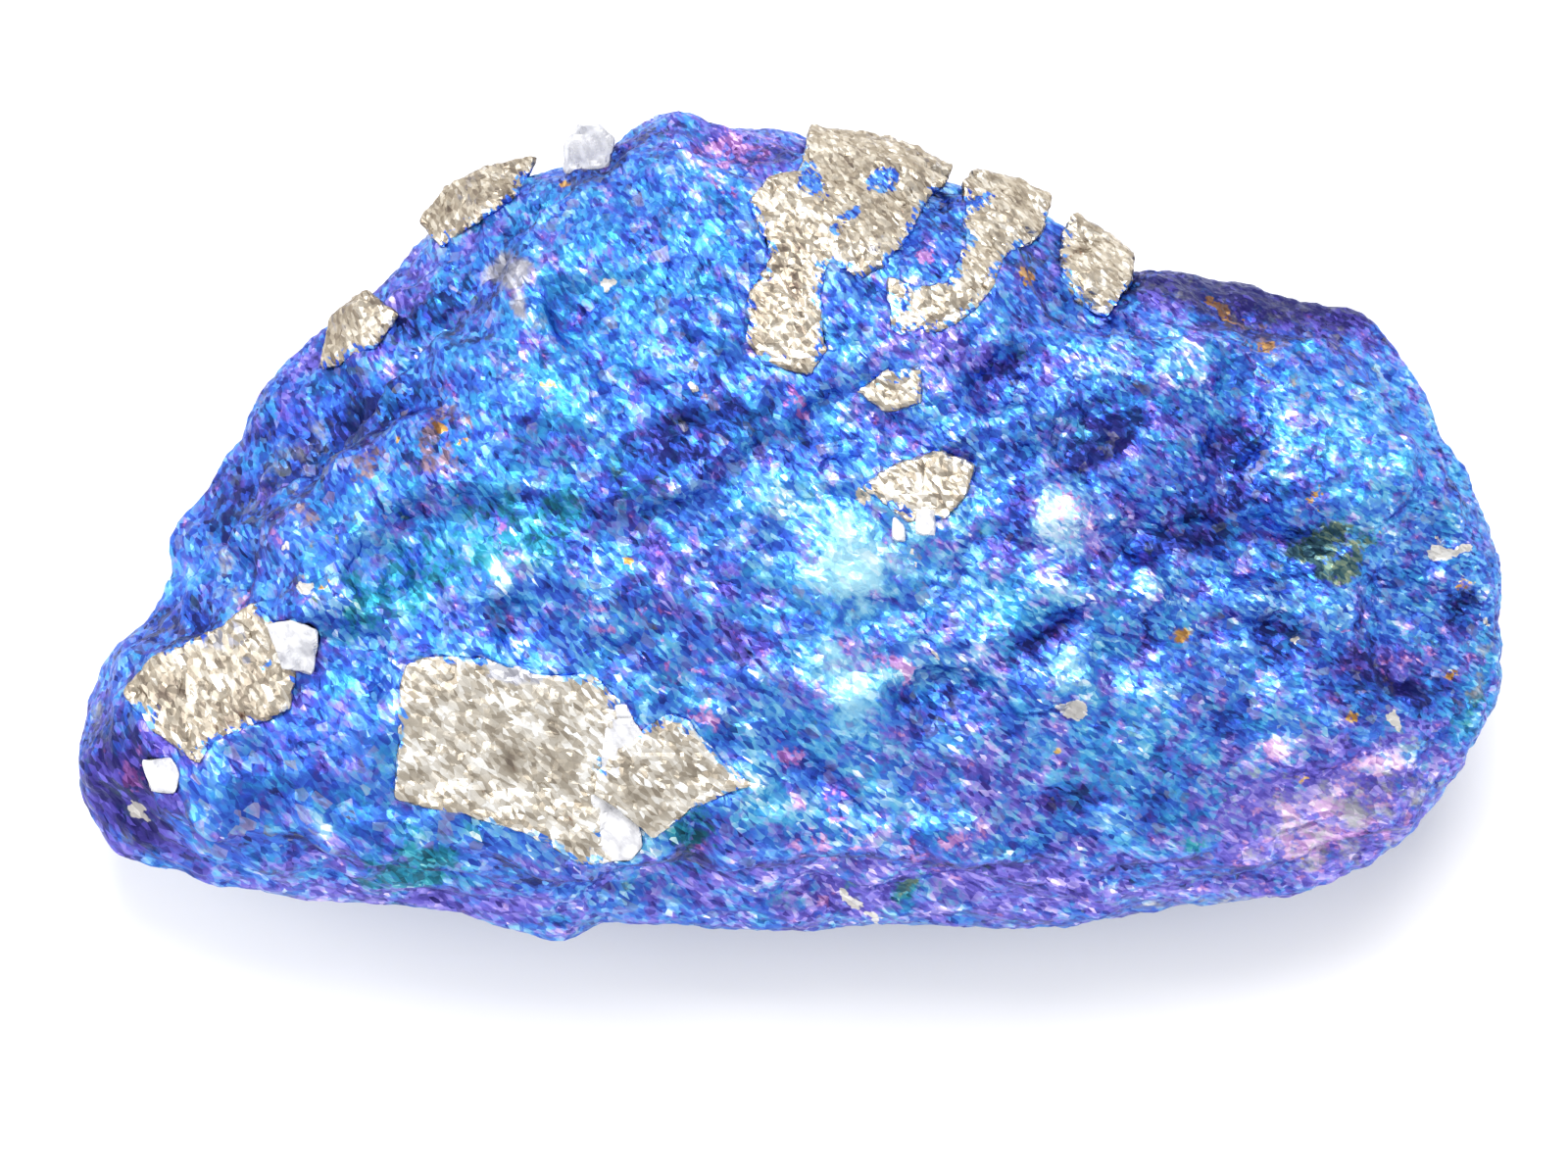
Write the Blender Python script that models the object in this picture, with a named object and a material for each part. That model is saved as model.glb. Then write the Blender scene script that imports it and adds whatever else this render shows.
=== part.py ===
"""Peacock ore specimen: a broken lump of tarnished copper ore, 30 mm long, that
lies on its flat side. Pyrite crystals and quartz grains are set in pockets in its face.

+X runs along the lump, +Y across it and +Z up. The origin is under the middle of
the lump, on the surface that it rests on.
"""
import math

import bmesh
import bpy
import numpy as np
from mathutils import Vector, noise
from mathutils.bvhtree import BVHTree

# Driving dimensions, in metres
MM = 0.001
LENGTH = 0.030
WIDTH = 0.0175
HEIGHT = 0.0108
CLEARANCE = 0.0002
PYRITE_DEPTH = 0.0012
QUARTZ_DEPTH = 0.0009
CRYSTAL_PROUD = 0.00012
LOWEST_POCKET = 0.0058
STANDING_RISE = 0.0012
ABOVE_LUMP = 1.4 * HEIGHT

# How finely the lump is faceted
SPHERE_SUBDIVISIONS = 7
REMESH_VOXEL = 0.00018
BODY_TRIANGLES = 7200
SKIN_TRIANGLES = 6000
OUTLINE_STEPS = 8

# Profile of the lump, in millimetres: the height of its widest line, how that line sways
# and ripples round the lump, and how far and how roundly it reaches above and below the line
GIRDLE = 4.3
GIRDLE_SWAY = 0.8
GIRDLE_RIPPLE = 0.5
CROWN_RISE = 8.0
KEEL_DROP = 5.0
CROWN_ROUNDNESS = 2.15
KEEL_ROUNDNESS = 2.5
FACE_SHARPNESS = 3.2
LEAST_RISE = 0.3

# Relief near the rim: it fades over this much of the ball's height, down to this share
RIM_FADE = 0.3
RIM_HOLD = 0.35

# Broken surface, in millimetres, with the size of each wave as its frequency along the
# grain, across it and upwards
GRAIN_ANGLE = math.radians(-38)
COARSE_HEIGHT = 0.36
COARSE_WAVE = (0.30, 0.46, 0.42)
FINE_HEIGHT = 0.14
FINE_WAVE = (0.85, 1.35, 1.2)
CHIP_STEP = 0.085
CHIP_TILT = 0.26
CHIP_WAVE = (0.42, 0.72, 0.6)
BROAD_HOLLOW = 1.3
BROAD_WAVE = (0.21, 0.21, 0.34)
NARROW_HOLLOW = 0.5
NARROW_WAVE = (0.5, 0.5, 0.8)
RAGGED_SHIFTS = ((0.8, 0.30), (2.0, 0.20))
RAGGED_SEED = 7
PIT_RAMP = 0.9
LEDGE_FACE = 0.35
SKIN_RELIEF = 0.6

# Outline seen from above, in millimetres, counter-clockwise from the right end
OUTLINE = [
    (15.0, -2.0), (14.7, -0.2), (14.4, 1.0), (13.9, 2.1), (13.3, 3.1), (12.1, 4.6),
    (10.9, 4.9), (9.4, 5.2), (7.8, 5.5), (7.2, 5.4), (6.6, 5.9), (5.9, 6.3),
    (4.7, 7.0), (3.3, 7.3), (2.1, 7.9), (0.5, 8.1), (-1.4, 8.4), (-2.0, 8.7),
    (-2.5, 8.8), (-3.2, 8.5), (-3.9, 8.0), (-4.7, 7.7), (-6.0, 7.4), (-6.9, 7.0),
    (-8.0, 5.9), (-9.3, 4.7), (-10.7, 3.5), (-11.8, 1.9), (-12.5, 0.7), (-13.1, -0.2),
    (-13.3, -1.4), (-14.3, -2.5), (-14.8, -3.7), (-15.0, -4.9), (-14.9, -5.8),
    (-14.4, -6.9), (-13.3, -7.3), (-11.6, -7.8), (-9.5, -8.0), (-7.3, -8.1),
    (-6.0, -8.6), (-5.0, -8.8), (-4.0, -8.5), (-3.0, -8.4), (-0.9, -8.6), (1.1, -8.5),
    (4.0, -8.5), (6.7, -8.3), (9.1, -7.9), (10.9, -7.7), (12.5, -7.0), (13.4, -6.0),
    (14.3, -4.7), (14.9, -3.6),
]

# Broken faces that cut the crown: a point on the face and its rise per millimetre in X and Y
CROWN_FACES = {
    "far_face": (-4.0, 1.2, 10.9, 0.05, -0.24),
    "near_face": (-3.0, 0.6, 10.9, 0.03, 0.30),
    "left_face": (-8.0, 0.5, 10.4, 0.42, 0.10),
    "left_shoulder": (-10.5, 2.5, 8.6, 0.75, -0.62),
    "right_face": (7.0, 0.0, 10.3, -0.22, -0.10),
    "right_slope": (11.5, 1.5, 9.2, -0.42, -0.34),
    "mauve_slope": (10.5, -5.0, 8.3, -0.20, 0.55),
    "right_end": (13.6, -2.4, 7.6, -1.1, 0.05),
    "near_left_corner": (-12.8, -5.6, 7.4, 0.55, 0.45),
}

# Broken faces that cut the underside, in the same form
KEEL_FACES = {
    "under_near": (2.0, -7.0, 2.4, 0.10, -0.75),
    "under_near_left": (-8.0, -6.6, 2.2, -0.30, -0.85),
    "under_far": (-2.0, 6.2, 2.4, -0.12, 0.78),
    "under_far_left": (-8.6, 3.4, 2.4, -0.62, 0.66),
    "under_left": (-12.0, -3.4, 1.9, -0.58, 0.16),
    "under_right": (12.0, -1.5, 2.3, 0.66, 0.10),
    "under_corner": (9.0, 3.4, 2.3, 0.30, 0.70),
}

# Ledges in the crown: the line of each, how far its right-hand side drops and how far
# from the line the drop has faded out
LEDGES = {
    "arc_ledge": (0.42, 3.0, [
        (-9.6, -1.6), (-8.7, 0.2), (-7.5, 0.9), (-5.6, 0.9), (-3.4, 0.5), (-1.7, 0.8),
        (-1.2, 1.8), (-0.1, 2.4)]),
    "upper_left_bench": (0.75, 1.7, [
        (-5.6, 6.3), (-7.2, 4.9), (-8.4, 3.4), (-9.8, 2.3), (-11.2, 1.1), (-12.4, -0.4)]),
    "upper_right_bench": (0.65, 1.7, [
        (13.2, 1.9), (12.0, 3.2), (10.2, 3.9), (8.4, 4.3), (7.0, 4.5)]),
    "near_bench": (0.30, 1.6, [
        (-13.4, -6.0), (-10.5, -6.9), (-7.0, -7.2), (-4.0, -7.5), (-1.0, -7.5),
        (3.0, -7.3), (7.0, -7.0), (11.0, -6.3)]),
    "right_step": (0.50, 2.0, [
        (10.2, 3.2), (9.9, 1.2), (10.4, 0.1), (11.4, 0.1), (12.6, -0.6), (13.8, -1.2)]),
}

# Pits and grooves: middle, length, width, turn in degrees and depth, in millimetres
PITS = [
    (-9.0, 2.2, 3.0, 0.9, 23, 0.80),
    (-8.1, 4.5, 3.6, 0.6, 38, 0.55),
    (-11.9, 0.3, 1.9, 0.7, 20, 0.50),
    (-12.4, -0.9, 1.6, 0.6, 0, 0.45),
    (-12.8, -2.0, 1.7, 1.0, 15, 0.80),
    (-9.3, -2.9, 1.6, 0.9, -60, 0.50),
    (-11.2, -4.9, 0.9, 0.7, 0, 0.35),
    (-10.7, -5.9, 0.8, 0.8, 0, 0.40),
    (-14.1, -6.0, 1.4, 0.8, -60, 0.45),
    (-2.2, 2.0, 1.6, 0.9, 20, 0.35),
    (4.6, 3.1, 1.9, 1.2, 25, 0.50),
    (6.5, 1.8, 2.6, 1.2, 32, 0.75),
    (8.1, -0.4, 3.4, 1.1, 5, 0.60),
    (9.2, 1.4, 1.7, 1.0, 60, 0.35),
    (5.1, 0.4, 1.9, 0.5, 100, 0.40),
    (11.3, -0.5, 2.4, 1.3, -12, 0.50),
    (5.6, -2.4, 2.0, 1.0, 35, 0.50),
    (3.0, -3.7, 2.0, 1.1, 10, 0.45),
    (10.1, -2.4, 2.4, 1.0, -10, 0.45),
    (11.9, -2.9, 1.5, 1.1, -50, 0.45),
    (13.2, -3.4, 1.3, 0.7, 10, 0.40),
    (5.9, -5.9, 1.9, 0.7, 0, 0.35),
    (-1.8, -7.0, 1.6, 1.1, 80, 0.55),
    (3.9, -0.6, 1.3, 0.7, 60, 0.45),
    (0.9, -5.6, 2.2, 0.6, -35, 0.35),
    (-6.6, -1.9, 1.8, 0.6, -38, 0.30),
    (-4.7, 4.4, 1.6, 0.7, -38, 0.30),
    (-3.2, 7.0, 1.5, 0.8, -20, 0.35),
    (2.2, 2.0, 1.3, 0.7, -38, 0.30),
    (-1.2, -2.6, 1.4, 0.7, -38, 0.28),
    (7.6, 4.0, 1.3, 0.7, 40, 0.40),
    (7.0, -3.0, 1.2, 0.6, -38, 0.45),
]

# Lumps and flat flakes that stand up, in the same form with a height
LUMPS = [
    (1.3, -0.8, 2.6, 1.6, 30, 0.38),
    (1.1, -3.4, 1.6, 2.2, 15, 0.32),
    (5.6, 0.4, 1.6, 1.2, -20, 0.60),
    (5.9, -1.4, 1.4, 0.8, -12, 0.40),
    (7.5, -1.5, 0.9, 0.8, 0, 0.45),
    (9.6, -1.5, 1.3, 0.8, -30, 0.45),
    (10.6, -4.2, 2.2, 1.7, -35, 0.50),
    (8.3, 3.2, 1.3, 1.1, 80, 0.50),
    (7.9, -4.0, 1.6, 1.1, -38, 0.35),
    (3.9, 1.9, 1.2, 0.9, -30, 0.30),
    (-5.2, 2.9, 2.6, 1.6, -38, 0.25),
    (-10.4, 0.2, 1.8, 1.0, 30, 0.40),
    (-3.4, -1.9, 2.4, 1.2, -38, 0.25),
    (-11.9, -6.2, 1.6, 0.9, -20, 0.30),
    (12.9, 1.0, 1.8, 1.4, -60, 0.28),
    (-8.6, -6.6, 1.6, 0.9, 10, 0.28),
    (3.6, -6.6, 2.2, 0.9, -8, 0.28),
    (-7.0, 3.6, 1.6, 0.8, -38, 0.25),
    (-1.6, 4.4, 1.8, 0.9, -38, 0.22),
]

# Crystals in the face of the ore: how each ends, and the edge of its pocket in millimetres.
# A flat one ends in one face, a rough one follows the broken surface and a standing one
# sticks out of the lump.
CRYSTALS = {
    "pyrite_corner": ("flat", [
        (-13.9, -3.5), (-13.3, -2.8), (-11.9, -2.2), (-11.2, -1.7), (-10.7, -2.1),
        (-10.4, -3.2), (-10.5, -3.8), (-12.0, -4.5), (-12.4, -4.9), (-13.4, -4.2)]),
    "pyrite_block": ("flat", [
        (-8.1, -3.6), (-8.0, -3.0), (-7.6, -2.8), (-6.3, -2.8), (-5.3, -3.2), (-4.1, -3.2),
        (-3.6, -3.7), (-3.7, -4.3), (-3.95, -5.0), (-4.05, -6.5), (-3.8, -7.0),
        (-4.3, -7.05), (-5.5, -6.4), (-6.8, -6.0), (-8.2, -5.7)]),
    "pyrite_wedge": ("flat", [
        (-3.15, -4.4), (-2.6, -4.0), (-2.2, -4.1), (-1.5, -4.9), (-0.9, -5.4),
        (-2.1, -5.9), (-2.85, -6.5), (-3.4, -6.0), (-4.0, -5.6), (-4.0, -5.2)]),
    "pyrite_band": ("rough", [
        (-0.8, 6.7), (-0.4, 7.2), (0.3, 7.4), (0.6, 8.8), (3.6, 8.2), (3.2, 7.2),
        (2.8, 6.8), (2.5, 6.2), (2.0, 5.5), (1.5, 5.2), (0.8, 5.5), (0.6, 4.4), (0.7, 3.6),
        (0.4, 3.2), (-0.5, 3.4), (-0.9, 3.9), (-0.8, 4.8), (-0.3, 5.6)]),
    "pyrite_hook": ("rough", [
        (3.7, 7.1), (4.2, 7.9), (5.5, 7.1), (5.2, 6.1), (4.4, 5.6), (4.2, 5.0), (3.8, 4.5),
        (3.2, 4.1), (2.1, 4.0), (2.1, 5.1), (2.7, 4.9), (3.3, 5.0), (3.7, 5.8)]),
    "pyrite_chip": ("rough", [
        (5.8, 6.1), (6.2, 6.9), (7.2, 6.2), (7.1, 5.1), (6.6, 4.4), (6.2, 4.6), (5.7, 5.1)]),
    "pyrite_centre": ("flat", [
        (1.6, 0.8), (2.2, 1.2), (3.2, 1.5), (3.8, 1.2), (3.6, 0.6), (3.2, 0.2), (2.5, 0.1)]),
    "pyrite_speck": ("flat", [
        (1.5, 2.8), (2.1, 3.2), (2.7, 3.2), (2.7, 2.6), (2.0, 2.4)]),
    "pyrite_rim_low": ("rough", [
        (-10.3, 3.3), (-10.9, 4.0), (-9.5, 5.3), (-8.3, 4.4), (-8.7, 3.8), (-9.5, 3.4)]),
    "pyrite_rim_high": ("rough", [
        (-7.3, 5.9), (-7.9, 6.7), (-6.2, 8.1), (-5.3, 7.8), (-5.8, 6.9), (-6.6, 6.4)]),
    "quartz_upper": ("rough", [
        (-3.8, -3.85), (-3.45, -3.75), (-3.05, -4.45), (-3.4, -5.2), (-3.95, -5.25)]),
    "quartz_lower": ("rough", [
        (-4.15, -5.6), (-3.75, -5.55), (-3.2, -6.2), (-3.1, -6.7), (-3.35, -7.0),
        (-3.9, -7.05)]),
    "quartz_left": ("rough", [
        (-10.9, -2.1), (-10.4, -2.0), (-9.9, -2.2), (-10.0, -3.1), (-10.6, -3.0)]),
    "quartz_tip": ("rough", [
        (-13.55, -4.95), (-12.95, -4.9), (-12.75, -5.2), (-12.9, -5.6), (-13.4, -5.55)]),
    "quartz_rim": ("standing", [
        (-4.7, 7.4), (-4.7, 8.0), (-4.4, 8.4), (-4.0, 8.4), (-3.7, 8.1), (-3.8, 7.5)]),
}


def clear_scene():
    for obj in list(bpy.data.objects):
        bpy.data.objects.remove(obj, do_unlink=True)


def smoothstep(value):
    value = np.clip(value, 0.0, 1.0)
    return value * value * (3.0 - 2.0 * value)


def outline_radius(angles):
    """Distance from the middle to the outline in each direction, in millimetres."""
    points = np.array(OUTLINE)
    before, after, last = (np.roll(points, shift, axis=0) for shift in (1, -1, -2))
    steps = np.linspace(0.0, 1.0, OUTLINE_STEPS, endpoint=False)[:, None, None]
    curve = 0.5 * (2 * points + (after - before) * steps
                   + (2 * before - 5 * points + 4 * after - last) * steps ** 2
                   + (3 * points - before - 3 * after + last) * steps ** 3)
    curve = curve.transpose(1, 0, 2).reshape(-1, 2)
    turn = np.arctan2(curve[:, 1], curve[:, 0])
    return np.interp(angles, turn, np.hypot(curve[:, 0], curve[:, 1]), period=2 * math.pi)


def plane_height(face, x, y):
    at_x, at_y, at_z, rise_x, rise_y = face
    return at_z + rise_x * (x - at_x) + rise_y * (y - at_y)


def soft_lowest(heights):
    """Lowest of several heights, with the edges between them a little rounded."""
    stack = np.stack(heights)
    lowest = stack.min(axis=0)
    return lowest - np.log(np.exp((lowest - stack) * FACE_SHARPNESS).sum(axis=0)) / FACE_SHARPNESS


def stone_surface(directions):
    """Places each direction of a ball on the broken lump, in millimetres."""
    angle = np.arctan2(directions[:, 1], directions[:, 0])
    flat = np.hypot(directions[:, 0], directions[:, 1])
    steep = np.abs(directions[:, 2])
    upper = directions[:, 2] >= 0.0
    power = np.where(upper, CROWN_ROUNDNESS, KEEL_ROUNDNESS)
    reach = (flat ** power + steep ** power) ** (-1.0 / power)
    radius = outline_radius(angle) * flat * reach
    x = radius * np.cos(angle)
    y = radius * np.sin(angle)
    girdle = GIRDLE + GIRDLE_SWAY * np.sin(angle + 0.8) + GIRDLE_RIPPLE * np.sin(3.0 * angle + 2.0)
    rise = CROWN_RISE * steep * reach
    drop = KEEL_DROP * steep * reach
    above = [plane_height(face, x, y) for face in CROWN_FACES.values()]
    below = [-plane_height(face, x, y) for face in KEEL_FACES.values()]
    crown = soft_lowest([girdle + rise] + above)
    keel = -soft_lowest([drop - girdle] + below)
    crown = np.maximum(crown, girdle + LEAST_RISE * rise)
    keel = np.minimum(keel, girdle - LEAST_RISE * drop)
    z = np.where(upper, crown, keel)
    return np.column_stack([x, y, z])


def spot(x, y, middle_x, middle_y, length, width, turn, ramp=0.0):
    """1 in the middle of an oval, falling to 0 outside it, with a flat bottom and steep sides.

    With a ramp, the bottom climbs towards the near side by that share.
    """
    cos, sin = math.cos(math.radians(turn)), math.sin(math.radians(turn))
    along = ((x - middle_x) * cos + (y - middle_y) * sin) / (0.5 * length)
    across = ((y - middle_y) * cos - (x - middle_x) * sin) / (0.5 * width)
    bottom = 1.0 - ramp * smoothstep(0.5 - 0.5 * across)
    return bottom / (1.0 + (along ** 2 + across ** 2) ** 3)


def ledge_drop(x, y, drop, reach, line):
    """Drop on the right-hand side of a line, fading out with the distance from it."""
    nearest = np.full(x.shape, np.inf)
    side = np.zeros(x.shape)
    for (start_x, start_y), (end_x, end_y) in zip(line, line[1:]):
        run_x, run_y = end_x - start_x, end_y - start_y
        run = math.hypot(run_x, run_y)
        along = ((x - start_x) * run_x + (y - start_y) * run_y) / run ** 2
        along = np.clip(along, 0.0, 1.0)
        away_x = x - start_x - along * run_x
        away_y = y - start_y - along * run_y
        distance = np.hypot(away_x, away_y)
        closer = distance < nearest
        nearest = np.where(closer, distance, nearest)
        side = np.where(closer, np.sign(run_y * away_x - run_x * away_y), side)
    step = np.where(side > 0, smoothstep(nearest / LEDGE_FACE), 0.0)
    return drop * step * np.exp(-(nearest / reach) ** 2)


def ragged(points):
    """Places in the plan, shifted a little here and there so that no edge runs smooth."""
    noise.seed_set(RAGGED_SEED)
    plan = points[:, :2].copy()
    for scale, reach in RAGGED_SHIFTS:
        shifts = [noise.noise_vector(Vector(point) * scale) for point in points]
        plan += reach * np.array(shifts)[:, :2]
    return plan


def wave(along, across, up, frequency, offset=0.0):
    """Smooth noise from -1 to 1 with its own frequency in each direction."""
    return noise.noise(Vector((along * frequency[0], across * frequency[1], up * frequency[2] + offset)))


def relief(points, normals):
    """How far ledges, pits and lumps stand out where the surface looks up, in millimetres."""
    x, y = ragged(points).T
    height = np.zeros(len(points))
    for middle_x, middle_y, length, width, turn, depth in PITS:
        height -= depth * spot(x, y, middle_x, middle_y, length, width, turn, PIT_RAMP)
    for middle_x, middle_y, length, width, turn, rise in LUMPS:
        height += rise * spot(x, y, middle_x, middle_y, length, width, turn)
    for drop, reach, line in LEDGES.values():
        height -= ledge_drop(x, y, drop, reach, line)
    return height * smoothstep((normals[:, 2] + 0.15) / 0.5)


def side_hollows(points, normals):
    """Broad hollows in the steep sides; they only sink, so the outline keeps its size."""
    depths = []
    for x, y, z in points:
        broad = wave(x, y, z, BROAD_WAVE, 4.0)
        narrow = wave(x, y, z, NARROW_WAVE, -9.0)
        depths.append(BROAD_HOLLOW * max(broad, 0.0) + NARROW_HOLLOW * abs(narrow))
    return np.array(depths) * smoothstep((0.9 - np.abs(normals[:, 2])) / 0.4)


def chip_height(place):
    """Height of the small flat chip that a place lies on; each has its own level and tilt."""
    seed = noise.voronoi(place)[1][0]
    tilt = noise.cell_vector(seed * 57.0)
    level = noise.cell(seed * 31.0)
    return CHIP_STEP * level + CHIP_TILT * (place - seed).dot(2.0 * tilt - Vector((1.0, 1.0, 1.0)))


def broken_grain(points):
    """Waves and flat chips of the fracture, longer along the grain of the ore."""
    cos, sin = math.cos(GRAIN_ANGLE), math.sin(GRAIN_ANGLE)
    values = []
    for x, y, z in points:
        along = x * cos + y * sin
        across = y * cos - x * sin
        coarse = wave(along, across, z, COARSE_WAVE, 7.0)
        fine = wave(along, across, z, FINE_WAVE, -3.0)
        chip = chip_height(Vector((along, across, z)) * Vector(CHIP_WAVE))
        values.append(COARSE_HEIGHT * coarse + FINE_HEIGHT * fine + chip)
    return np.array(values)


def mesh_object(name, mesh):
    obj = bpy.data.objects.new(name, mesh)
    bpy.context.scene.collection.objects.link(obj)
    return obj


def hide_helper(obj):
    obj.hide_render = True
    obj.display_type = "WIRE"
    return obj


def vertex_array(mesh, field):
    values = np.empty(len(mesh.vertices) * 3)
    mesh.vertices.foreach_get(field, values)
    return values.reshape(-1, 3)


def evaluated_mesh(obj):
    """A new mesh of the object with its modifiers applied."""
    graph = bpy.context.evaluated_depsgraph_get()
    return bpy.data.meshes.new_from_object(obj.evaluated_get(graph))


def broken_facets(obj, triangles):
    """One even skin over the whole lump, then reduced to facets."""
    even = obj.modifiers.new("Even skin", "REMESH")
    even.mode = "VOXEL"
    even.voxel_size = REMESH_VOXEL
    skin = evaluated_mesh(obj)
    obj.modifiers.clear()
    obj.data = skin
    reduce = obj.modifiers.new("Broken facets", "DECIMATE")
    reduce.ratio = triangles / (2 * len(skin.polygons))
    facets = evaluated_mesh(obj)
    obj.modifiers.clear()
    obj.data = facets


def stone_object(name, relief_share, proud, triangles):
    """The lump as a closed mesh: a ball whose points are moved to the broken surface.

    A smaller share of the relief gives the smoother skin that the crystals end in, and
    proud is how far that skin stands above the ore.
    """
    mesh = bpy.data.meshes.new(name)
    shape = bmesh.new()
    bmesh.ops.create_icosphere(shape, subdivisions=SPHERE_SUBDIVISIONS, radius=1.0)
    shape.to_mesh(mesh)
    shape.free()
    directions = vertex_array(mesh, "co")
    steepness = np.abs(directions[:, 2])
    points = stone_surface(directions)
    mesh.vertices.foreach_set("co", points.ravel())
    mesh.update()
    normals = vertex_array(mesh, "normal")
    off_rim = smoothstep(steepness / RIM_FADE)
    grain = broken_grain(points) * (RIM_HOLD + (1.0 - RIM_HOLD) * off_rim)
    stand_out = relief_share * (relief(points, normals) + grain) + proud / MM
    stand_out -= side_hollows(points, normals) * off_rim
    points += normals * stand_out[:, None]
    mesh.vertices.foreach_set("co", points.ravel() * MM)
    mesh.update()
    obj = mesh_object(name, mesh)
    broken_facets(obj, triangles)
    return obj


def settle(objects):
    """Brings the lump to its length, width and height, and its helpers with it."""
    points = vertex_array(objects[0].data, "co")
    low, high = points.min(axis=0), points.max(axis=0)
    middle = 0.5 * (low + high)
    size = np.array([high[0] - low[0], high[1] - low[1], high[2]])
    scale = np.array([LENGTH, WIDTH, HEIGHT]) / size
    for obj in objects:
        moved = vertex_array(obj.data, "co")
        moved[:, :2] -= middle[:2]
        moved *= scale
        obj.data.vertices.foreach_set("co", moved.ravel())
        obj.data.update()


def offset_outline(points, distance):
    """Moves each side of an outline outwards by a distance, inwards where it is negative."""
    points = np.array(points, dtype=float)
    following = np.roll(points, -1, axis=0)
    area = 0.5 * np.sum(points[:, 0] * following[:, 1] - following[:, 0] * points[:, 1])
    sides = following - points
    sides /= np.linalg.norm(sides, axis=1)[:, None]
    normals = np.column_stack([sides[:, 1], -sides[:, 0]]) * math.copysign(1.0, area)
    before = np.roll(normals, 1, axis=0)
    bisector = normals + before
    bisector /= np.maximum(np.sum(bisector * normals, axis=1), 0.5)[:, None]
    return points + bisector * distance


def prism(name, outline, floor, top):
    """An upright block on an outline; floor and top give the height at each place."""
    shape = bmesh.new()
    lower = [shape.verts.new((x, y, floor(x, y))) for x, y in outline]
    upper = [shape.verts.new((x, y, top(x, y))) for x, y in outline]
    count = len(outline)
    shape.faces.new(lower)
    shape.faces.new(upper)
    for index in range(count):
        following = (index + 1) % count
        shape.faces.new((lower[index], lower[following], upper[following], upper[index]))
    bmesh.ops.triangulate(shape, faces=shape.faces)
    bmesh.ops.recalc_face_normals(shape, faces=shape.faces)
    mesh = bpy.data.meshes.new(name)
    shape.to_mesh(mesh)
    shape.free()
    return mesh_object(name, mesh)


def surface_heights(tree, outline, lowest):
    """Heights of the uncut lump under the points of an outline."""
    heights = []
    for x, y in outline:
        hit = tree.ray_cast(Vector((x, y, 2 * HEIGHT)), Vector((0.0, 0.0, -1.0)))[0]
        heights.append(max(hit.z, lowest) if hit else lowest)
    return np.array(heights)


def plane_through(outline, heights):
    """Rise in X, rise in Y and level of the flat face closest to some points."""
    outline = np.array(outline)
    columns = np.column_stack([outline, np.ones(len(outline))])
    return np.linalg.lstsq(columns, heights, rcond=None)[0]


def flat_face(plane, lift):
    rise_x, rise_y, level = (float(value) for value in plane)
    return lambda x, y: rise_x * x + rise_y * y + level + lift


def add_boolean(obj, operation, operand):
    cut = obj.modifiers.new(operation.title(), "BOOLEAN")
    cut.operation = operation
    cut.solver = "EXACT"
    if isinstance(operand, bpy.types.Collection):
        cut.operand_type = "COLLECTION"
        cut.collection = operand
    else:
        cut.object = operand


def surface_tree(obj):
    shape = bmesh.new()
    shape.from_mesh(obj.data)
    tree = BVHTree.FromBMesh(shape)
    shape.free()
    return tree


def make_crystals(body, skin, pockets):
    """One block for each crystal, trimmed to the face of the ore, and its pocket."""
    tree = surface_tree(body)
    above = flat_face((0.0, 0.0, 0.0), ABOVE_LUMP)
    blocks = []
    for name, (ending, outline) in CRYSTALS.items():
        edge = [(x * MM, y * MM) for x, y in outline]
        heights = surface_heights(tree, edge, LOWEST_POCKET)
        plane = plane_through(edge, heights)
        if ending == "standing":
            plane = (0.0, 0.0, heights.min())
        fitted = flat_face(plane, 0.0)
        dip = max(0.0, max(fitted(x, y) - height for (x, y), height in zip(edge, heights)))
        depth = dip + (PYRITE_DEPTH if name.startswith("pyrite") else QUARTZ_DEPTH)
        pocket = hide_helper(prism("pocket_" + name, edge, flat_face(plane, -depth), above))
        bpy.context.scene.collection.objects.unlink(pocket)
        pockets.objects.link(pocket)
        tops = {
            "flat": flat_face(plane, 2 * CRYSTAL_PROUD),
            "rough": above,
            "standing": flat_face(plane, STANDING_RISE),
        }
        inner = offset_outline(edge, -CLEARANCE)
        block = prism(name, inner, flat_face(plane, CLEARANCE - depth), tops[ending])
        if ending != "standing":
            add_boolean(block, "INTERSECT", skin)
        blocks.append(block)
    return blocks


def base_cutter():
    """Everything below the resting face."""
    mesh = bpy.data.meshes.new("base_cutter")
    shape = bmesh.new()
    bmesh.ops.create_cube(shape, size=1.0)
    bmesh.ops.scale(shape, vec=(2 * LENGTH, 2 * LENGTH, LENGTH), verts=shape.verts)
    bmesh.ops.translate(shape, vec=(0.0, 0.0, -0.5 * LENGTH), verts=shape.verts)
    shape.to_mesh(mesh)
    shape.free()
    return hide_helper(mesh_object("base_cutter", mesh))


def plain_material(name, colour, roughness, metallic):
    material = bpy.data.materials.new(name)
    material.use_nodes = True
    shader = material.node_tree.nodes["Principled BSDF"]
    shader.inputs["Base Color"].default_value = (*colour, 1.0)
    shader.inputs["Roughness"].default_value = roughness
    shader.inputs["Metallic"].default_value = metallic
    return material


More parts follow.
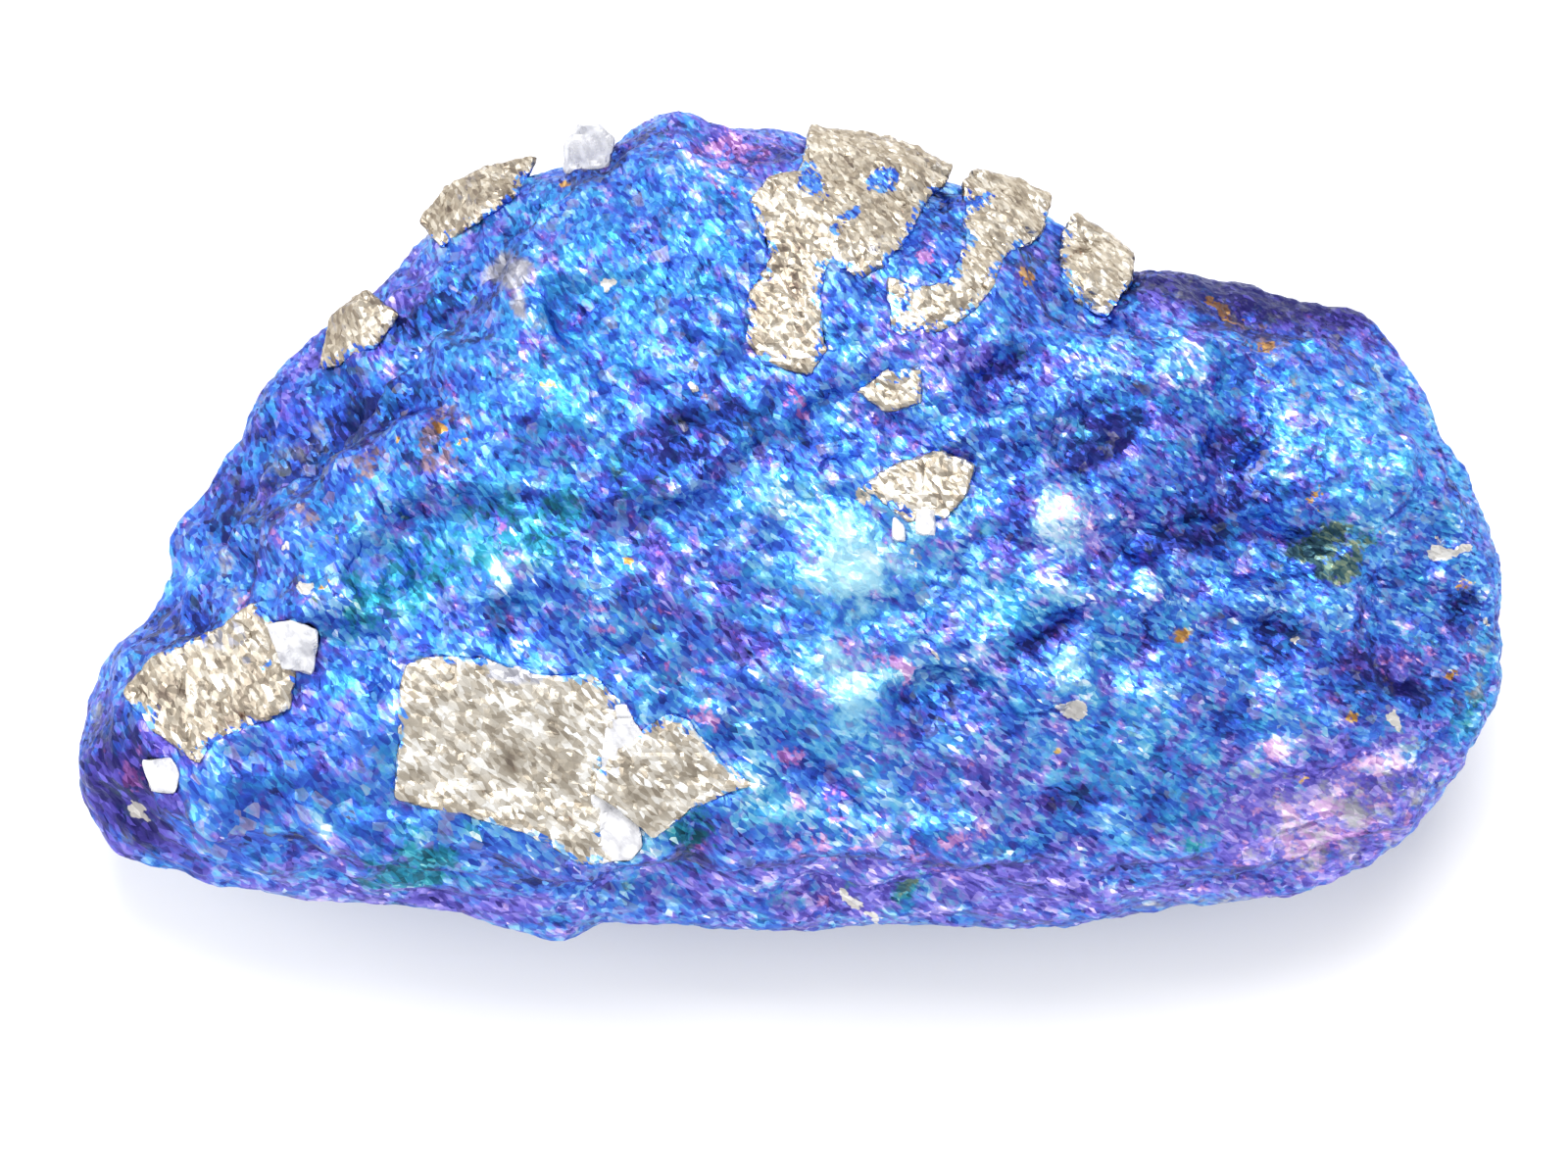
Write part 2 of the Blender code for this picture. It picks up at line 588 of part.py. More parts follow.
def main():
    clear_scene()
    tarnish = plain_material("tarnished_ore", (0.03, 0.12, 0.62), 0.35, 0.8)
    brassy = plain_material("pyrite", (0.62, 0.55, 0.38), 0.35, 0.9)
    milky = plain_material("quartz", (0.88, 0.88, 0.86), 0.30, 0.0)
    body = stone_object("ore_body", 1.0, 0.0, BODY_TRIANGLES)
    skin = stone_object("crystal_skin", SKIN_RELIEF, CRYSTAL_PROUD, SKIN_TRIANGLES)
    hide_helper(skin)
    settle([body, skin])
    body.data.materials.clear()
    body.data.materials.append(tarnish)
    pockets = bpy.data.collections.new("pockets")
    bpy.context.scene.collection.children.link(pockets)
    for block in make_crystals(body, skin, pockets):
        block.data.materials.append(milky if block.name.startswith("quartz") else brassy)
    add_boolean(body, "DIFFERENCE", base_cutter())
    add_boolean(body, "DIFFERENCE", pockets)


main()
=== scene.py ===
# %% [markdown]
# # The looks of a peacock ore specimen
#
# Peacock ore is copper ore whose broken face has tarnished. A film far thinner than a hair
# lies on the grains and colours them blue, violet, cyan and pink, while the pyrite crystals
# beside them stay brassy and the quartz grains stay white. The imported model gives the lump,
# its ledges and its crystals at their real size. These cells add what the model is too coarse
# for: the fine broken grain, the tarnish with its flushes and flecks, and the sparkle.

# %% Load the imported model
import math

import bmesh
import bpy
import numpy as np
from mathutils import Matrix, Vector, noise
from mathutils.bvhtree import BVHTree


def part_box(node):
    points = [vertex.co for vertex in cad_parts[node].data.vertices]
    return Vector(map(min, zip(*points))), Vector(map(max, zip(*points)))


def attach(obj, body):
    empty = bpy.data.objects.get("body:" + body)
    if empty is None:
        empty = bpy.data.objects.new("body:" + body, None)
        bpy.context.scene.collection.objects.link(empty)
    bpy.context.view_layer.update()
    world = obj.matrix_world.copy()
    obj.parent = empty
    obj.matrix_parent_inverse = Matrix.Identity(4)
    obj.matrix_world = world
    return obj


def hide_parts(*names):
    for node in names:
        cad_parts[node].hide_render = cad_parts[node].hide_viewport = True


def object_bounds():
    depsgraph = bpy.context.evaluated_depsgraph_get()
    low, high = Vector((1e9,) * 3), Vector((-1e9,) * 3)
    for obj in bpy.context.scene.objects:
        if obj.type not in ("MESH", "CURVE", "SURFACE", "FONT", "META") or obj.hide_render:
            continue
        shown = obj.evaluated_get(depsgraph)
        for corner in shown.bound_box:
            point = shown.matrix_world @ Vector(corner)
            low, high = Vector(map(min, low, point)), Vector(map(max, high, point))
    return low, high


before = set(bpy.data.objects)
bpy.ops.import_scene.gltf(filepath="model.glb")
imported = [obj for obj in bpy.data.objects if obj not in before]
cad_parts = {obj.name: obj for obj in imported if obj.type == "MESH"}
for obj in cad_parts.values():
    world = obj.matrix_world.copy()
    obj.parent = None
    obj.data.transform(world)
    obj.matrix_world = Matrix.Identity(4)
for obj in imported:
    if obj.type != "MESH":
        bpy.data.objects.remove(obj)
cad_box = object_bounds()
MM = 0.001
print("the packed model has", len(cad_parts), "solids")

# %% [markdown]
# ## The camera
#
# The specimen is seen from straight above. A picture of a small thing could be framed by
# trial, but the picture itself gives the numbers: so many of its pixels make a millimetre at
# the lump's widest line, and its middle looks at one point of the lump. A long lens from far
# away keeps the upright sides upright, as in the picture.

# %% Camera straight above
PICTURE_WIDTH_PX = 1600
PX_PER_MM = 48.5
PICTURE_MIDDLE = (-0.12, -1.32)
WIDEST_LINE = 4.3
CAMERA_AWAY = 800.0
SENSOR_WIDTH = 36.0
NEAREST_SEEN = 10.0

camera_data = bpy.data.cameras.new("straight_above")
camera_data.sensor_width = SENSOR_WIDTH
camera_data.lens = SENSOR_WIDTH * CAMERA_AWAY * PX_PER_MM / PICTURE_WIDTH_PX
camera_data.clip_start = NEAREST_SEEN * MM
camera = bpy.data.objects.new("straight_above", camera_data)
camera.location = Vector((*PICTURE_MIDDLE, WIDEST_LINE + CAMERA_AWAY)) * MM
bpy.context.scene.collection.objects.link(camera)
bpy.context.scene.camera = camera
print("lens", round(camera_data.lens), "mm")

# %% [markdown]
# ## The light
#
# Tarnished metal shows what it reflects, so the light is half of the finish. A single small
# lamp would leave hard black shadows in every pit. So a soft box stands beyond the far edge
# and lights the facets that lean that way, a weaker one does the same from the left, and the
# even pale room fills the rest.

# %% Soft boxes and room
# Each soft box has a name, its place and its side in metres, its power in watts and its colour
SOFT_BOXES = (
    ("far_soft_box", (0.02, 0.26, 0.42), 0.26, 2.5, (1.0, 0.99, 0.97)),
    ("left_soft_box", (-0.34, 0.02, 0.30), 0.30, 1.0, (0.97, 0.98, 1.0)),
)
ROOM_COLOUR = (0.95, 0.96, 1.0, 1.0)
ROOM_STRENGTH = 0.94


def soft_box(name, place, size, power, colour):
    """A square soft light at a place in metres that points at the lump."""
    data = bpy.data.lights.new(name, "AREA")
    data.size = size
    data.energy = power
    data.color = colour
    light = bpy.data.objects.new(name, data)
    light.location = place
    light.rotation_euler = Vector(place).to_track_quat("Z", "Y").to_euler()
    bpy.context.scene.collection.objects.link(light)


for values in SOFT_BOXES:
    soft_box(*values)
world = bpy.data.worlds.new("pale_room")
world.use_nodes = True
room = world.node_tree.nodes["Background"]
room.inputs["Color"].default_value = ROOM_COLOUR
room.inputs["Strength"].default_value = ROOM_STRENGTH
bpy.context.scene.world = world
bpy.context.scene.view_settings.view_transform = "Standard"

# %% [markdown]
# ## The table
#
# The lump lies on a pale floor, bright enough to look nearly white. A thick slab would look
# the same from above, so one square face is enough.

# %% Pale table
TABLE_HALF = 0.6
TABLE_COLOUR = (0.93, 0.92, 0.90, 1.0)
TABLE_ROUGHNESS = 0.9

table_data = bpy.data.meshes.new("table")
table_shape = bmesh.new()
bmesh.ops.create_grid(table_shape, x_segments=1, y_segments=1, size=TABLE_HALF)
table_shape.to_mesh(table_data)
table_shape.free()
table = bpy.data.objects.new("table", table_data)
bpy.context.scene.collection.objects.link(table)
pale = bpy.data.materials.new("pale_table")
pale.use_nodes = True
pale_shader = pale.node_tree.nodes["Principled BSDF"]
pale_shader.inputs["Base Color"].default_value = TABLE_COLOUR
pale_shader.inputs["Roughness"].default_value = TABLE_ROUGHNESS
table.data.materials.append(pale)
print("the table is", 2 * TABLE_HALF, "m wide")

# %% [markdown]
# ## Skins to work on
#
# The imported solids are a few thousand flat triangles. To carry grain they need an even skin
# of tiny faces. Subdivision would give long thin faces where the triangles are long and thin,
# so the voxel Remesh modifier makes the skin. It is applied at once, because the next steps
# move its points one by one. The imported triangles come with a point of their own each, and
# Remesh makes nothing of loose triangles, so each copy is welded first, and every finished
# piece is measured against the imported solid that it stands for.

# %% Welded copies and even skins
SAME_POINT = 0.0001
FARTHEST_OFF = 0.6
SOFTENING = 0.5


def baked(obj):
    """Applies the modifiers of an object."""
    graph = bpy.context.evaluated_depsgraph_get()
    mesh = bpy.data.meshes.new_from_object(obj.evaluated_get(graph))
    obj.modifiers.clear()
    obj.data = mesh
    return obj


def with_even_skin(obj, voxel):
    """Puts one skin of small even faces over an object."""
    remesh = obj.modifiers.new("Even skin", "REMESH")
    remesh.mode = "VOXEL"
    remesh.voxel_size = voxel * MM
    return baked(obj)


def packed_copy(source, name):
    """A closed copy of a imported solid, whose triangles come with a point of their own each."""
    shape = bmesh.new()
    shape.from_mesh(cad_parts[source].data)
    bmesh.ops.remove_doubles(shape, verts=shape.verts, dist=SAME_POINT * MM)
    mesh = bpy.data.meshes.new(name)
    shape.to_mesh(mesh)
    shape.free()
    obj = bpy.data.objects.new(name, mesh)
    bpy.context.scene.collection.objects.link(obj)
    return obj


def check_against_packed(obj, source):
    """Stops the script if a piece is empty or doesn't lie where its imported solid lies."""
    low, high = (np.array(corner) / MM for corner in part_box(source))
    points = places(obj.data)
    assert len(points) > 0, obj.name + " is empty"
    away = np.abs(np.stack([points.min(axis=0) - low, points.max(axis=0) - high])).max()
    assert away < FARTHEST_OFF, obj.name + " is off by " + str(round(float(away), 2))
    print(obj.name, len(obj.data.polygons), "faces, box within", round(float(away), 2), "mm")


def smoothed(obj, times, group=""):
    """Softens the corners of the coarse triangles, by the weights of a group if one is named."""
    smooth = obj.modifiers.new("Softer corners", "SMOOTH")
    smooth.factor = SOFTENING
    smooth.iterations = times
    smooth.vertex_group = group
    return baked(obj)


def places(mesh, field="co"):
    """Points or point normals of a mesh as an array, points in millimetres."""
    values = np.empty(len(mesh.vertices) * 3)
    mesh.vertices.foreach_get(field, values)
    return values.reshape(-1, 3) / (MM if field == "co" else 1.0)


def move_to(mesh, points):
    mesh.vertices.foreach_set("co", (points * MM).ravel())
    mesh.update()


ore = packed_copy("ore_body", "ore_lump")
print("the welded lump has", len(ore.data.vertices), "points")

# %% [markdown]
# ## The way the grain runs
#
# The finest grain of this ore is about twice as long as wide. It runs from the upper left to
# the lower right, steeply at the left end and flatter at the right, as if it ran on wide arcs
# round a far point. So every place is also given in grain axes: along the arcs, across them
# and up. A simple bend would do that too, but it shears the grains, which get thin at one end
# of the lump and fat at the other; arcs keep their shape. Facets that are a little longer
# along the grain come from a simple trick: the mesh is squeezed along the grain, gets its even
# skin, and is stretched back.

# %% Grain axes
GRAIN_ANGLE = math.radians(-45)
ARC_REACH = 42.0
ARC_START = GRAIN_ANGLE + math.radians(90)
ARC_MIDDLE = (ARC_REACH * math.cos(ARC_START), ARC_REACH * math.sin(ARC_START))
GRAIN_STRETCH = 1.35


def in_grain_axes(points):
    """Places along the arcs of the grain, across them and up."""
    x, y, z = points.T
    to_x = ARC_MIDDLE[0] - x
    to_y = ARC_MIDDLE[1] - y
    along = np.arctan2(to_y, to_x) - ARC_START
    across = np.log(ARC_REACH / np.hypot(to_x, to_y))
    return np.column_stack([ARC_REACH * along, ARC_REACH * across, z])


def stretch_along_grain(obj, times):
    """Makes a mesh so many times as long along the grain's main direction."""
    grain = np.array([math.cos(GRAIN_ANGLE), math.sin(GRAIN_ANGLE), 0.0])
    points = places(obj.data)
    move_to(obj.data, points + (times - 1.0) * np.outer(points @ grain, grain))


for x in (cad_box[0][0] / MM, 0.0, cad_box[1][0] / MM):
    turned = math.degrees(math.atan2(ARC_MIDDLE[1], ARC_MIDDLE[0] - x)) - 90.0
    print("at x", round(x), "mm the grain runs at", round(turned), "degrees")

# %% [markdown]
# ## The broken grain of the ore
#
# Chalcopyrite and bornite have no good cleavage. They break into small chips, each with its
# own level and tilt. A noise texture alone would give soft waves. So random seeds each carry
# a tilted chip, and the highest chip near a place counts, which gives flat facets that meet in
# sharp but unbroken edges. Doing it twice, with plates a little under a millimetre and flakes
# of about a quarter of one, gives the large and the small breaks. A little soft noise of the
# same two sizes keeps the breaks from looking cut.

# %% Plates and flakes
# A size of grain is always given in millimetres along the grain, across it and up
PLATE = (0.85, 0.65, 1.00)
PLATE_STEP = 0.020
PLATE_TILT = 0.050
FLAKE = (0.27, 0.18, 0.34)
FLAKE_STEP = 0.010
FLAKE_TILT = 0.030
CHIP_FALL = 1.2
LEAN_KEY = 57.0
LEVEL_KEY = 31.0
SWELL = (0.70, 0.55, 0.80)
SWELL_HEIGHT = 0.07
PEBBLE = (0.27, 0.18, 0.34)
PEBBLE_HEIGHT = 0.028


def stretched(place, size):
    return Vector((place[0] / size[0], place[1] / size[1], place[2] / size[2]))


def chip(place, size, step, tilt):
    """Height of the highest of the tilted chips whose seeds lie round a place."""
    spot = stretched(place, size)
    heights = []
    for seed in noise.voronoi(spot)[1]:
        lean = 2.0 * noise.cell_vector(seed * LEAN_KEY) - Vector((1.0, 1.0, 1.0))
        away = spot - seed
        fall = CHIP_FALL * tilt * away.length_squared
        heights.append(step * noise.cell(seed * LEVEL_KEY) + tilt * away.dot(lean) - fall)
    return max(heights)


def fracture(points):
    """Height of the broken grain at each place, in millimetres, level on the whole."""
    heights = []
    for place in in_grain_axes(points):
        plate = chip(place, PLATE, PLATE_STEP, PLATE_TILT)
        flake = chip(place, FLAKE, FLAKE_STEP, FLAKE_TILT)
        swell = SWELL_HEIGHT * noise.noise(stretched(place, SWELL))
        pebble = PEBBLE_HEIGHT * noise.noise(stretched(place, PEBBLE))
        heights.append(plate + flake + swell + pebble)
    return np.array(heights) - np.mean(heights)


tried = fracture(np.array([[x, 0.0, cad_box[1][2] / MM] for x in range(-10, 11)]))
print("on a line of places the grain spans", round(float(np.ptp(tried)), 2), "mm")

# %% [markdown]
# ## The lump's skin
#
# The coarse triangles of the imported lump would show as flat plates, so the skin is smoothed,
# and more so away from the crystals, because the pockets have to stay tight round them. Then
# each point moves along its normal by the height of the grain. At last Decimate collapses the
# even net to fewer and less regular facets, which look broken and not cut, and nothing is let
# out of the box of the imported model.

# %% Skin of the lump
ORE_VOXEL = 0.068
ORE_TRIANGLES = 190000
ALL_OVER_TIMES = 4
SMOOTHER_TIMES = 12
NEAR_CRYSTAL = 0.15
FAR_FROM_CRYSTAL = 0.7


def smoothstep(values):
    values = np.clip(values, 0.0, 1.0)
    return values * values * (3.0 - 2.0 * values)


def triangle_count(obj):
    return sum(len(face.vertices) - 2 for face in obj.data.polygons)


def reduced(obj, triangles):
    """Collapses a skin to fewer, larger and less regular facets, longer along the grain."""
    stretch_along_grain(obj, 1.0 / GRAIN_STRETCH)
    collapse = obj.modifiers.new("Broken facets", "DECIMATE")
    collapse.ratio = min(1.0, triangles / triangle_count(obj))
    collapse.use_collapse_triangulate = True
    baked(obj)
    stretch_along_grain(obj, GRAIN_STRETCH)
    obj.data.shade_flat()
    return obj


def far_from_crystals(obj):
    """A group that weighs each point by how far it lies from the crystals."""
    corners, sides = [], []
    for name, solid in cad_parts.items():
        if name != "ore_body":
            first = len(corners)
            corners += [corner.co.copy() for corner in solid.data.vertices]
            sides += [[first + index for index in side.vertices] for side in solid.data.polygons]
    tree = BVHTree.FromPolygons(corners, sides)
    group = obj.vertex_groups.new(name="far_from_crystals")
    for corner in obj.data.vertices:
        away = tree.find_nearest(corner.co, FAR_FROM_CRYSTAL * MM)[3]
        share = 1.0 if away is None else (away / MM - NEAR_CRYSTAL) / (FAR_FROM_CRYSTAL - NEAR_CRYSTAL)
        group.add([corner.index], float(smoothstep(share)), "REPLACE")
    return group.name


def keep_in_box(points):
    """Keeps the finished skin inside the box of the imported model."""
    low, high = (np.array(corner) / MM for corner in cad_box)
    return np.clip(points, low, high)


stretch_along_grain(ore, 1.0 / GRAIN_STRETCH)
with_even_skin(ore, ORE_VOXEL)
stretch_along_grain(ore, GRAIN_STRETCH)
smoothed(ore, ALL_OVER_TIMES)
smoothed(ore, SMOOTHER_TIMES, far_from_crystals(ore))
ore_points = places(ore.data)
ore_normals = places(ore.data, "normal")
move_to(ore.data, keep_in_box(ore_points + ore_normals * fracture(ore_points)[:, None]))
print("the ore's even skin has", len(ore_points), "points")
reduced(ore, ORE_TRIANGLES)
move_to(ore.data, keep_in_box(places(ore.data)))
check_against_packed(ore, "ore_body")

# %% [markdown]
# ## Where each colour lies
#
# The tarnish isn't one blue. It flushes cyan where the film is thick, turns violet and rose
# where it is thin, and leaves gold flecks where it has just begun. A noise texture could
# scatter these colours, but each one has its place on this lump. So each colour has a list of
# ovals, placed one by one. An oval is the x and y of its middle, its length and width in
# millimetres, its turn in degrees and its strength. LIGHT_AND_PAINTED_GLINT and DARK_AND_PAINTED_SHADE
# move the tone up and down.
# Part of this is the tarnish's own paler and darker patches, and part is painted highlights and
# glints, with painted shade in grooves and on slopes turned from the light. FLUSH evens it out
# to a bright film, and CALM says where the grains differ less.

# %% Light, dark and calm places
# Tone raised here: partly the tarnish's own pale patches, partly painted highlights and glints
LIGHT_AND_PAINTED_GLINT = [
    (7.6, -1.3, 0.8, 0.6, -20, 0.40), (5.7, 0.1, 1.5, 1.9, 15, 0.30),
    (2.5, -3.0, 1.0, 0.8, 30, 0.25), (1.4, -0.8, 1.9, 1.8, 20, 0.06),
    (-6.0, -0.9, 0.6, 0.40, -45, 0.60), (-5.1, -0.9, 0.5, 0.35, -45, 0.50),
    (-3.9, -0.7, 0.3, 0.5, 0, 0.50), (-5.7, -2.5, 0.4, 0.35, -30, 0.50),
    (-4.3, -1.3, 0.5, 0.3, -45, 0.35), (-9.8, -6.3, 0.3, 0.9, 40, 0.70),
    (11.4, -0.6, 1.6, 0.8, -12, 0.10), (11.2, -6.0, 4.0, 1.8, 20, 0.18),
    (12.3, 1.9, 3.4, 3.0, -30, 0.11), (5.4, -3.4, 6.0, 3.4, -10, 0.07),
    (7.6, -1.4, 4.6, 2.0, -10, 0.10), (2.6, -7.3, 11.0, 1.6, 0, 0.13),
    (10.4, 1.7, 0.8, 1.5, -10, 0.25),
    (8.4, 3.5, 0.9, 1.5, 10, 0.30), (6.6, 3.4, 1.3, 1.0, 0, 0.20),
    (12.7, -4.9, 1.2, 0.5, 10, 0.50), (10.3, -4.7, 1.1, 0.7, -30, 0.26),
    (12.3, -1.6, 1.6, 0.8, -25, 0.20),
    (-7.7, 4.8, 1.6, 0.5, 38, 0.30), (3.5, -2.9, 1.5, 0.5, 30, 0.30),
    (0.0, 0.4, 0.8, 0.7, 0, 0.35), (-1.6, 7.6, 1.6, 0.8, -15, 0.25),
    (-0.8, -5.4, 1.2, 0.5, -40, 0.35), (0.2, -6.0, 1.1, 0.6, -30, 0.30),
]
FLUSH = [
    (1.4, -0.8, 2.0, 2.0, 20, 1.0), (1.2, -3.3, 1.5, 2.6, 20, 0.75),
    (5.7, 0.15, 1.5, 1.7, 15, 0.85), (5.6, -1.4, 1.5, 0.7, -12, 0.55),
    (12.4, 1.5, 3.0, 2.2, -30, 0.20), (-6.0, -0.9, 1.4, 0.9, -30, 0.35),
    (2.5, -3.0, 1.0, 0.8, 30, 0.55), (-3.4, 4.2, 1.8, 1.2, -30, 0.30),
    (5.9, -3.0, 0.7, 1.3, 25, 0.50), (9.3, -6.2, 1.8, 0.9, 10, 0.25),
]
# Tone lowered here: partly the tarnish's own dark patches, partly painted shade in grooves, hollows and
# on slopes turned from the light
DARK_AND_PAINTED_SHADE = [
    (-1.8, 1.9, 3.2, 1.3, 25, 0.44), (4.5, 3.2, 1.3, 0.9, 40, 0.34),
    (-3.6, 0.4, 3.6, 1.1, 10, 0.14), (-9.9, 1.9, 2.8, 1.4, 30, 0.12),
    (-7.3, 1.6, 1.8, 1.4, 20, 0.30), (-11.9, 1.3, 4.0, 0.7, 52, 0.26),
    (-9.0, 4.8, 3.6, 0.6, 50, 0.28), (-14.8, -5.0, 0.7, 3.6, 0, 0.22),
    (6.45, 1.65, 2.2, 0.8, 40, 0.85), (7.85, -0.5, 3.6, 0.6, 11, 0.55),
    (9.4, 0.5, 3.0, 0.5, 14, 0.50), (7.4, 1.5, 5.6, 4.6, 0, 0.12),
    (9.4, 1.6, 1.4, 1.3, 0, 0.40), (10.1, -2.4, 1.9, 0.7, -5, 0.42),
    (5.3, -2.4, 1.4, 0.6, 30, 0.42), (3.0, -3.8, 1.8, 0.9, 10, 0.32),
    (4.8, 0.3, 0.6, 2.1, -12, 0.60), (-14.0, -5.4, 2.2, 3.0, 15, 0.46),
    (-10.8, 1.8, 4.0, 2.2, 42, 0.30), (12.6, 1.6, 3.6, 3.0, -30, 0.10),
    (-10.6, -5.6, 4.6, 3.0, 10, 0.10), (-7.8, 4.45, 3.2, 0.8, 33, 0.50),
    (-4.0, 4.4, 8.0, 4.6, 15, 0.09), (-3.9, -1.5, 5.6, 2.2, 5, 0.08),
    (11.2, -0.7, 2.0, 1.1, -10, 0.20),
    (-9.0, 2.3, 2.2, 0.8, 25, 0.50), (-11.6, 0.3, 1.9, 0.9, 30, 0.34),
    (-13.0, -2.1, 1.8, 1.0, 30, 0.34), (-14.2, -6.2, 1.5, 1.2, -50, 0.28),
    (10.0, 4.9, 6.6, 1.3, -8, 0.72), (-9.6, 3.2, 1.6, 0.5, 40, 0.34),
    (5.9, -5.8, 1.8, 0.7, 0, 0.26), (7.6, -5.8, 1.2, 0.7, 30, 0.20),
    (-1.9, -6.8, 1.3, 1.2, 60, 0.26), (11.9, -3.2, 1.8, 0.9, -40, 0.42),
    (13.3, -3.5, 1.2, 0.8, 10, 0.46), (14.1, -1.7, 0.6, 0.9, 0, 0.30),
    (0.9, -1.9, 2.6, 0.5, 15, 0.22),
    (-1.1, -2.5, 0.6, 0.3, -30, 0.40), (4.8, 1.1, 0.6, 1.6, 10, 0.22),
    (-10.6, -5.5, 0.8, 0.6, 0, 0.22), (9.4, -4.0, 0.7, 0.7, 0, 0.2),
    (-1.9, 3.2, 2.2, 1.0, -38, 0.12), (-7.2, 1.1, 1.6, 0.5, 30, 0.16),
]
CALM = [
    (-3.7, 4.2, 9.0, 6.4, 10, 0.40), (11.9, 2.2, 4.6, 4.2, -30, 0.60),
    (11.4, -6.0, 6.0, 3.6, 15, 1.0), (3.0, -7.6, 12.0, 1.8, 0, 0.35),
    (-10.4, -5.7, 6.0, 3.6, 10, 0.55), (-9.6, 1.4, 5.0, 3.4, 30, 0.30),
    (1.4, -0.8, 2.2, 2.2, 20, 1.0), (-7.4, -0.2, 3.4, 1.6, 20, 0.6),
    (1.2, -3.3, 1.5, 2.6, 20, 0.6),
]
print("ovals of tone", sum(len(marks) for marks in (LIGHT_AND_PAINTED_GLINT, FLUSH, DARK_AND_PAINTED_SHADE, CALM)))

# %% Cyan, teal, violet and rose
CYAN = [
    (1.4, -0.8, 2.0, 1.9, 20, 1.0), (1.2, -3.3, 1.5, 2.6, 20, 0.8),
    (-4.8, 4.0, 6.0, 4.0, 30, 0.45), (-6.8, 0.4, 3.6, 1.4, 20, 0.5),
    (12.4, 1.4, 3.6, 2.6, -30, 0.40), (7.0, -4.8, 3.2, 2.0, -20, 0.45),
    (6.0, -1.5, 2.4, 0.9, 0, 0.5), (4.4, -1.8, 2.0, 1.6, 30, 0.35),
    (8.6, 3.0, 2.2, 1.8, 20, 0.4), (-0.8, -5.6, 2.4, 0.8, -38, 0.5),
    (14.4, -3.4, 0.9, 2.2, -10, 0.8), (-3.0, 1.9, 2.6, 1.0, 10, 0.3),
    (-5.6, 6.6, 1.8, 1.1, 35, 0.4), (9.0, -6.0, 2.0, 1.2, -20, 0.3),
]
TEAL = [
    (-6.6, -0.5, 4.6, 1.3, 18, 0.75), (-8.6, -1.7, 1.8, 1.2, 40, 0.7),
    (-7.9, -7.1, 1.9, 1.2, 20, 0.8), (11.8, -0.3, 1.6, 0.8, -10, 0.5),
    (-2.1, -6.4, 1.2, 1.1, 60, 0.6), (14.5, -3.3, 0.6, 1.8, -10, 0.5),
    (2.5, -7.7, 0.7, 0.5, 0, 0.7), (8.5, -6.6, 0.7, 0.6, 0, 0.6),
    (-5.2, 0.2, 1.6, 0.9, 20, 0.6),
]
VIOLET = [
    (-14.0, -5.8, 2.0, 3.0, 20, 0.8), (-13.0, -4.4, 1.4, 1.6, 0, 0.5),
    (10.0, 4.9, 6.5, 1.2, -8, 0.9), (3.0, -7.6, 12.0, 1.6, 0, 0.6),
    (-7.5, -7.9, 7.0, 0.8, -5, 0.6), (-1.6, -1.6, 4.4, 2.0, -38, 0.35),
    (-8.6, 4.6, 4.4, 0.8, 38, 0.6), (11.2, -6.0, 4.6, 2.4, 20, 1.0),
    (4.2, -5.2, 3.0, 2.2, -20, 0.45), (12.9, -3.0, 1.8, 1.2, 0, 0.5),
    (3.6, 3.6, 3.0, 1.2, -10, 0.55), (5.6, -0.4, 3.6, 2.0, 0, 0.35),
    (7.6, 1.4, 4.6, 3.2, 0, 0.25), (5.2, -3.4, 6.0, 3.0, -10, 0.15),
    (-11.2, 1.2, 1.6, 2.2, 30, 0.2), (-9.6, -6.9, 2.2, 1.0, 0, 0.3),
    (-0.9, 7.9, 2.6, 0.9, -15, 0.6), (-10.3, -3.9, 1.4, 1.8, 0, 0.3),
]
ROSE = [
    (-1.0, 7.9, 1.6, 0.7, -10, 0.8), (-1.4, 7.2, 0.6, 0.6, 0, 0.9),
    (0.3, 2.5, 0.5, 0.9, 20, 0.8), (2.3, -3.0, 0.9, 0.6, 20, 0.8),
    (-3.0, -2.3, 3.4, 1.6, -38, 0.45), (-1.9, -3.6, 0.8, 1.6, 20, 0.6),
    (0.9, -6.5, 1.6, 1.3, 0, 0.6), (12.3, -5.0, 1.6, 0.5, 5, 1.0),
    (10.2, -4.7, 0.8, 0.6, 0, 0.8), (3.0, -6.6, 1.6, 1.4, 30, 0.55),
    (11.4, -6.2, 3.2, 1.6, 20, 1.0), (5.8, 0.2, 1.2, 1.5, 20, 0.55),
    (1.6, -0.2, 0.8, 0.7, 0, 0.35), (1.6, -1.9, 0.4, 0.7, 0, 0.6),
    (-11.3, -1.5, 0.9, 0.7, 30, 0.5), (13.1, -2.9, 1.6, 0.9, 0, 0.5),
    (0.6, -7.8, 1.0, 0.6, 0, 0.5), (-13.8, -4.9, 1.0, 1.4, 20, 0.4),
    (-0.1, -4.3, 0.5, 0.5, 0, 0.7), (0.0, -4.7, 0.5, 0.4, 0, 0.8),
    (4.2, -0.1, 0.5, 0.4, 0, 0.5), (2.9, 5.6, 0.4, 0.3, 0, 0.7),
    (11.6, -2.1, 0.6, 0.5, 40, 0.8),
]
print("ovals of film", sum(len(marks) for marks in (CYAN, TEAL, VIOLET, ROSE)))

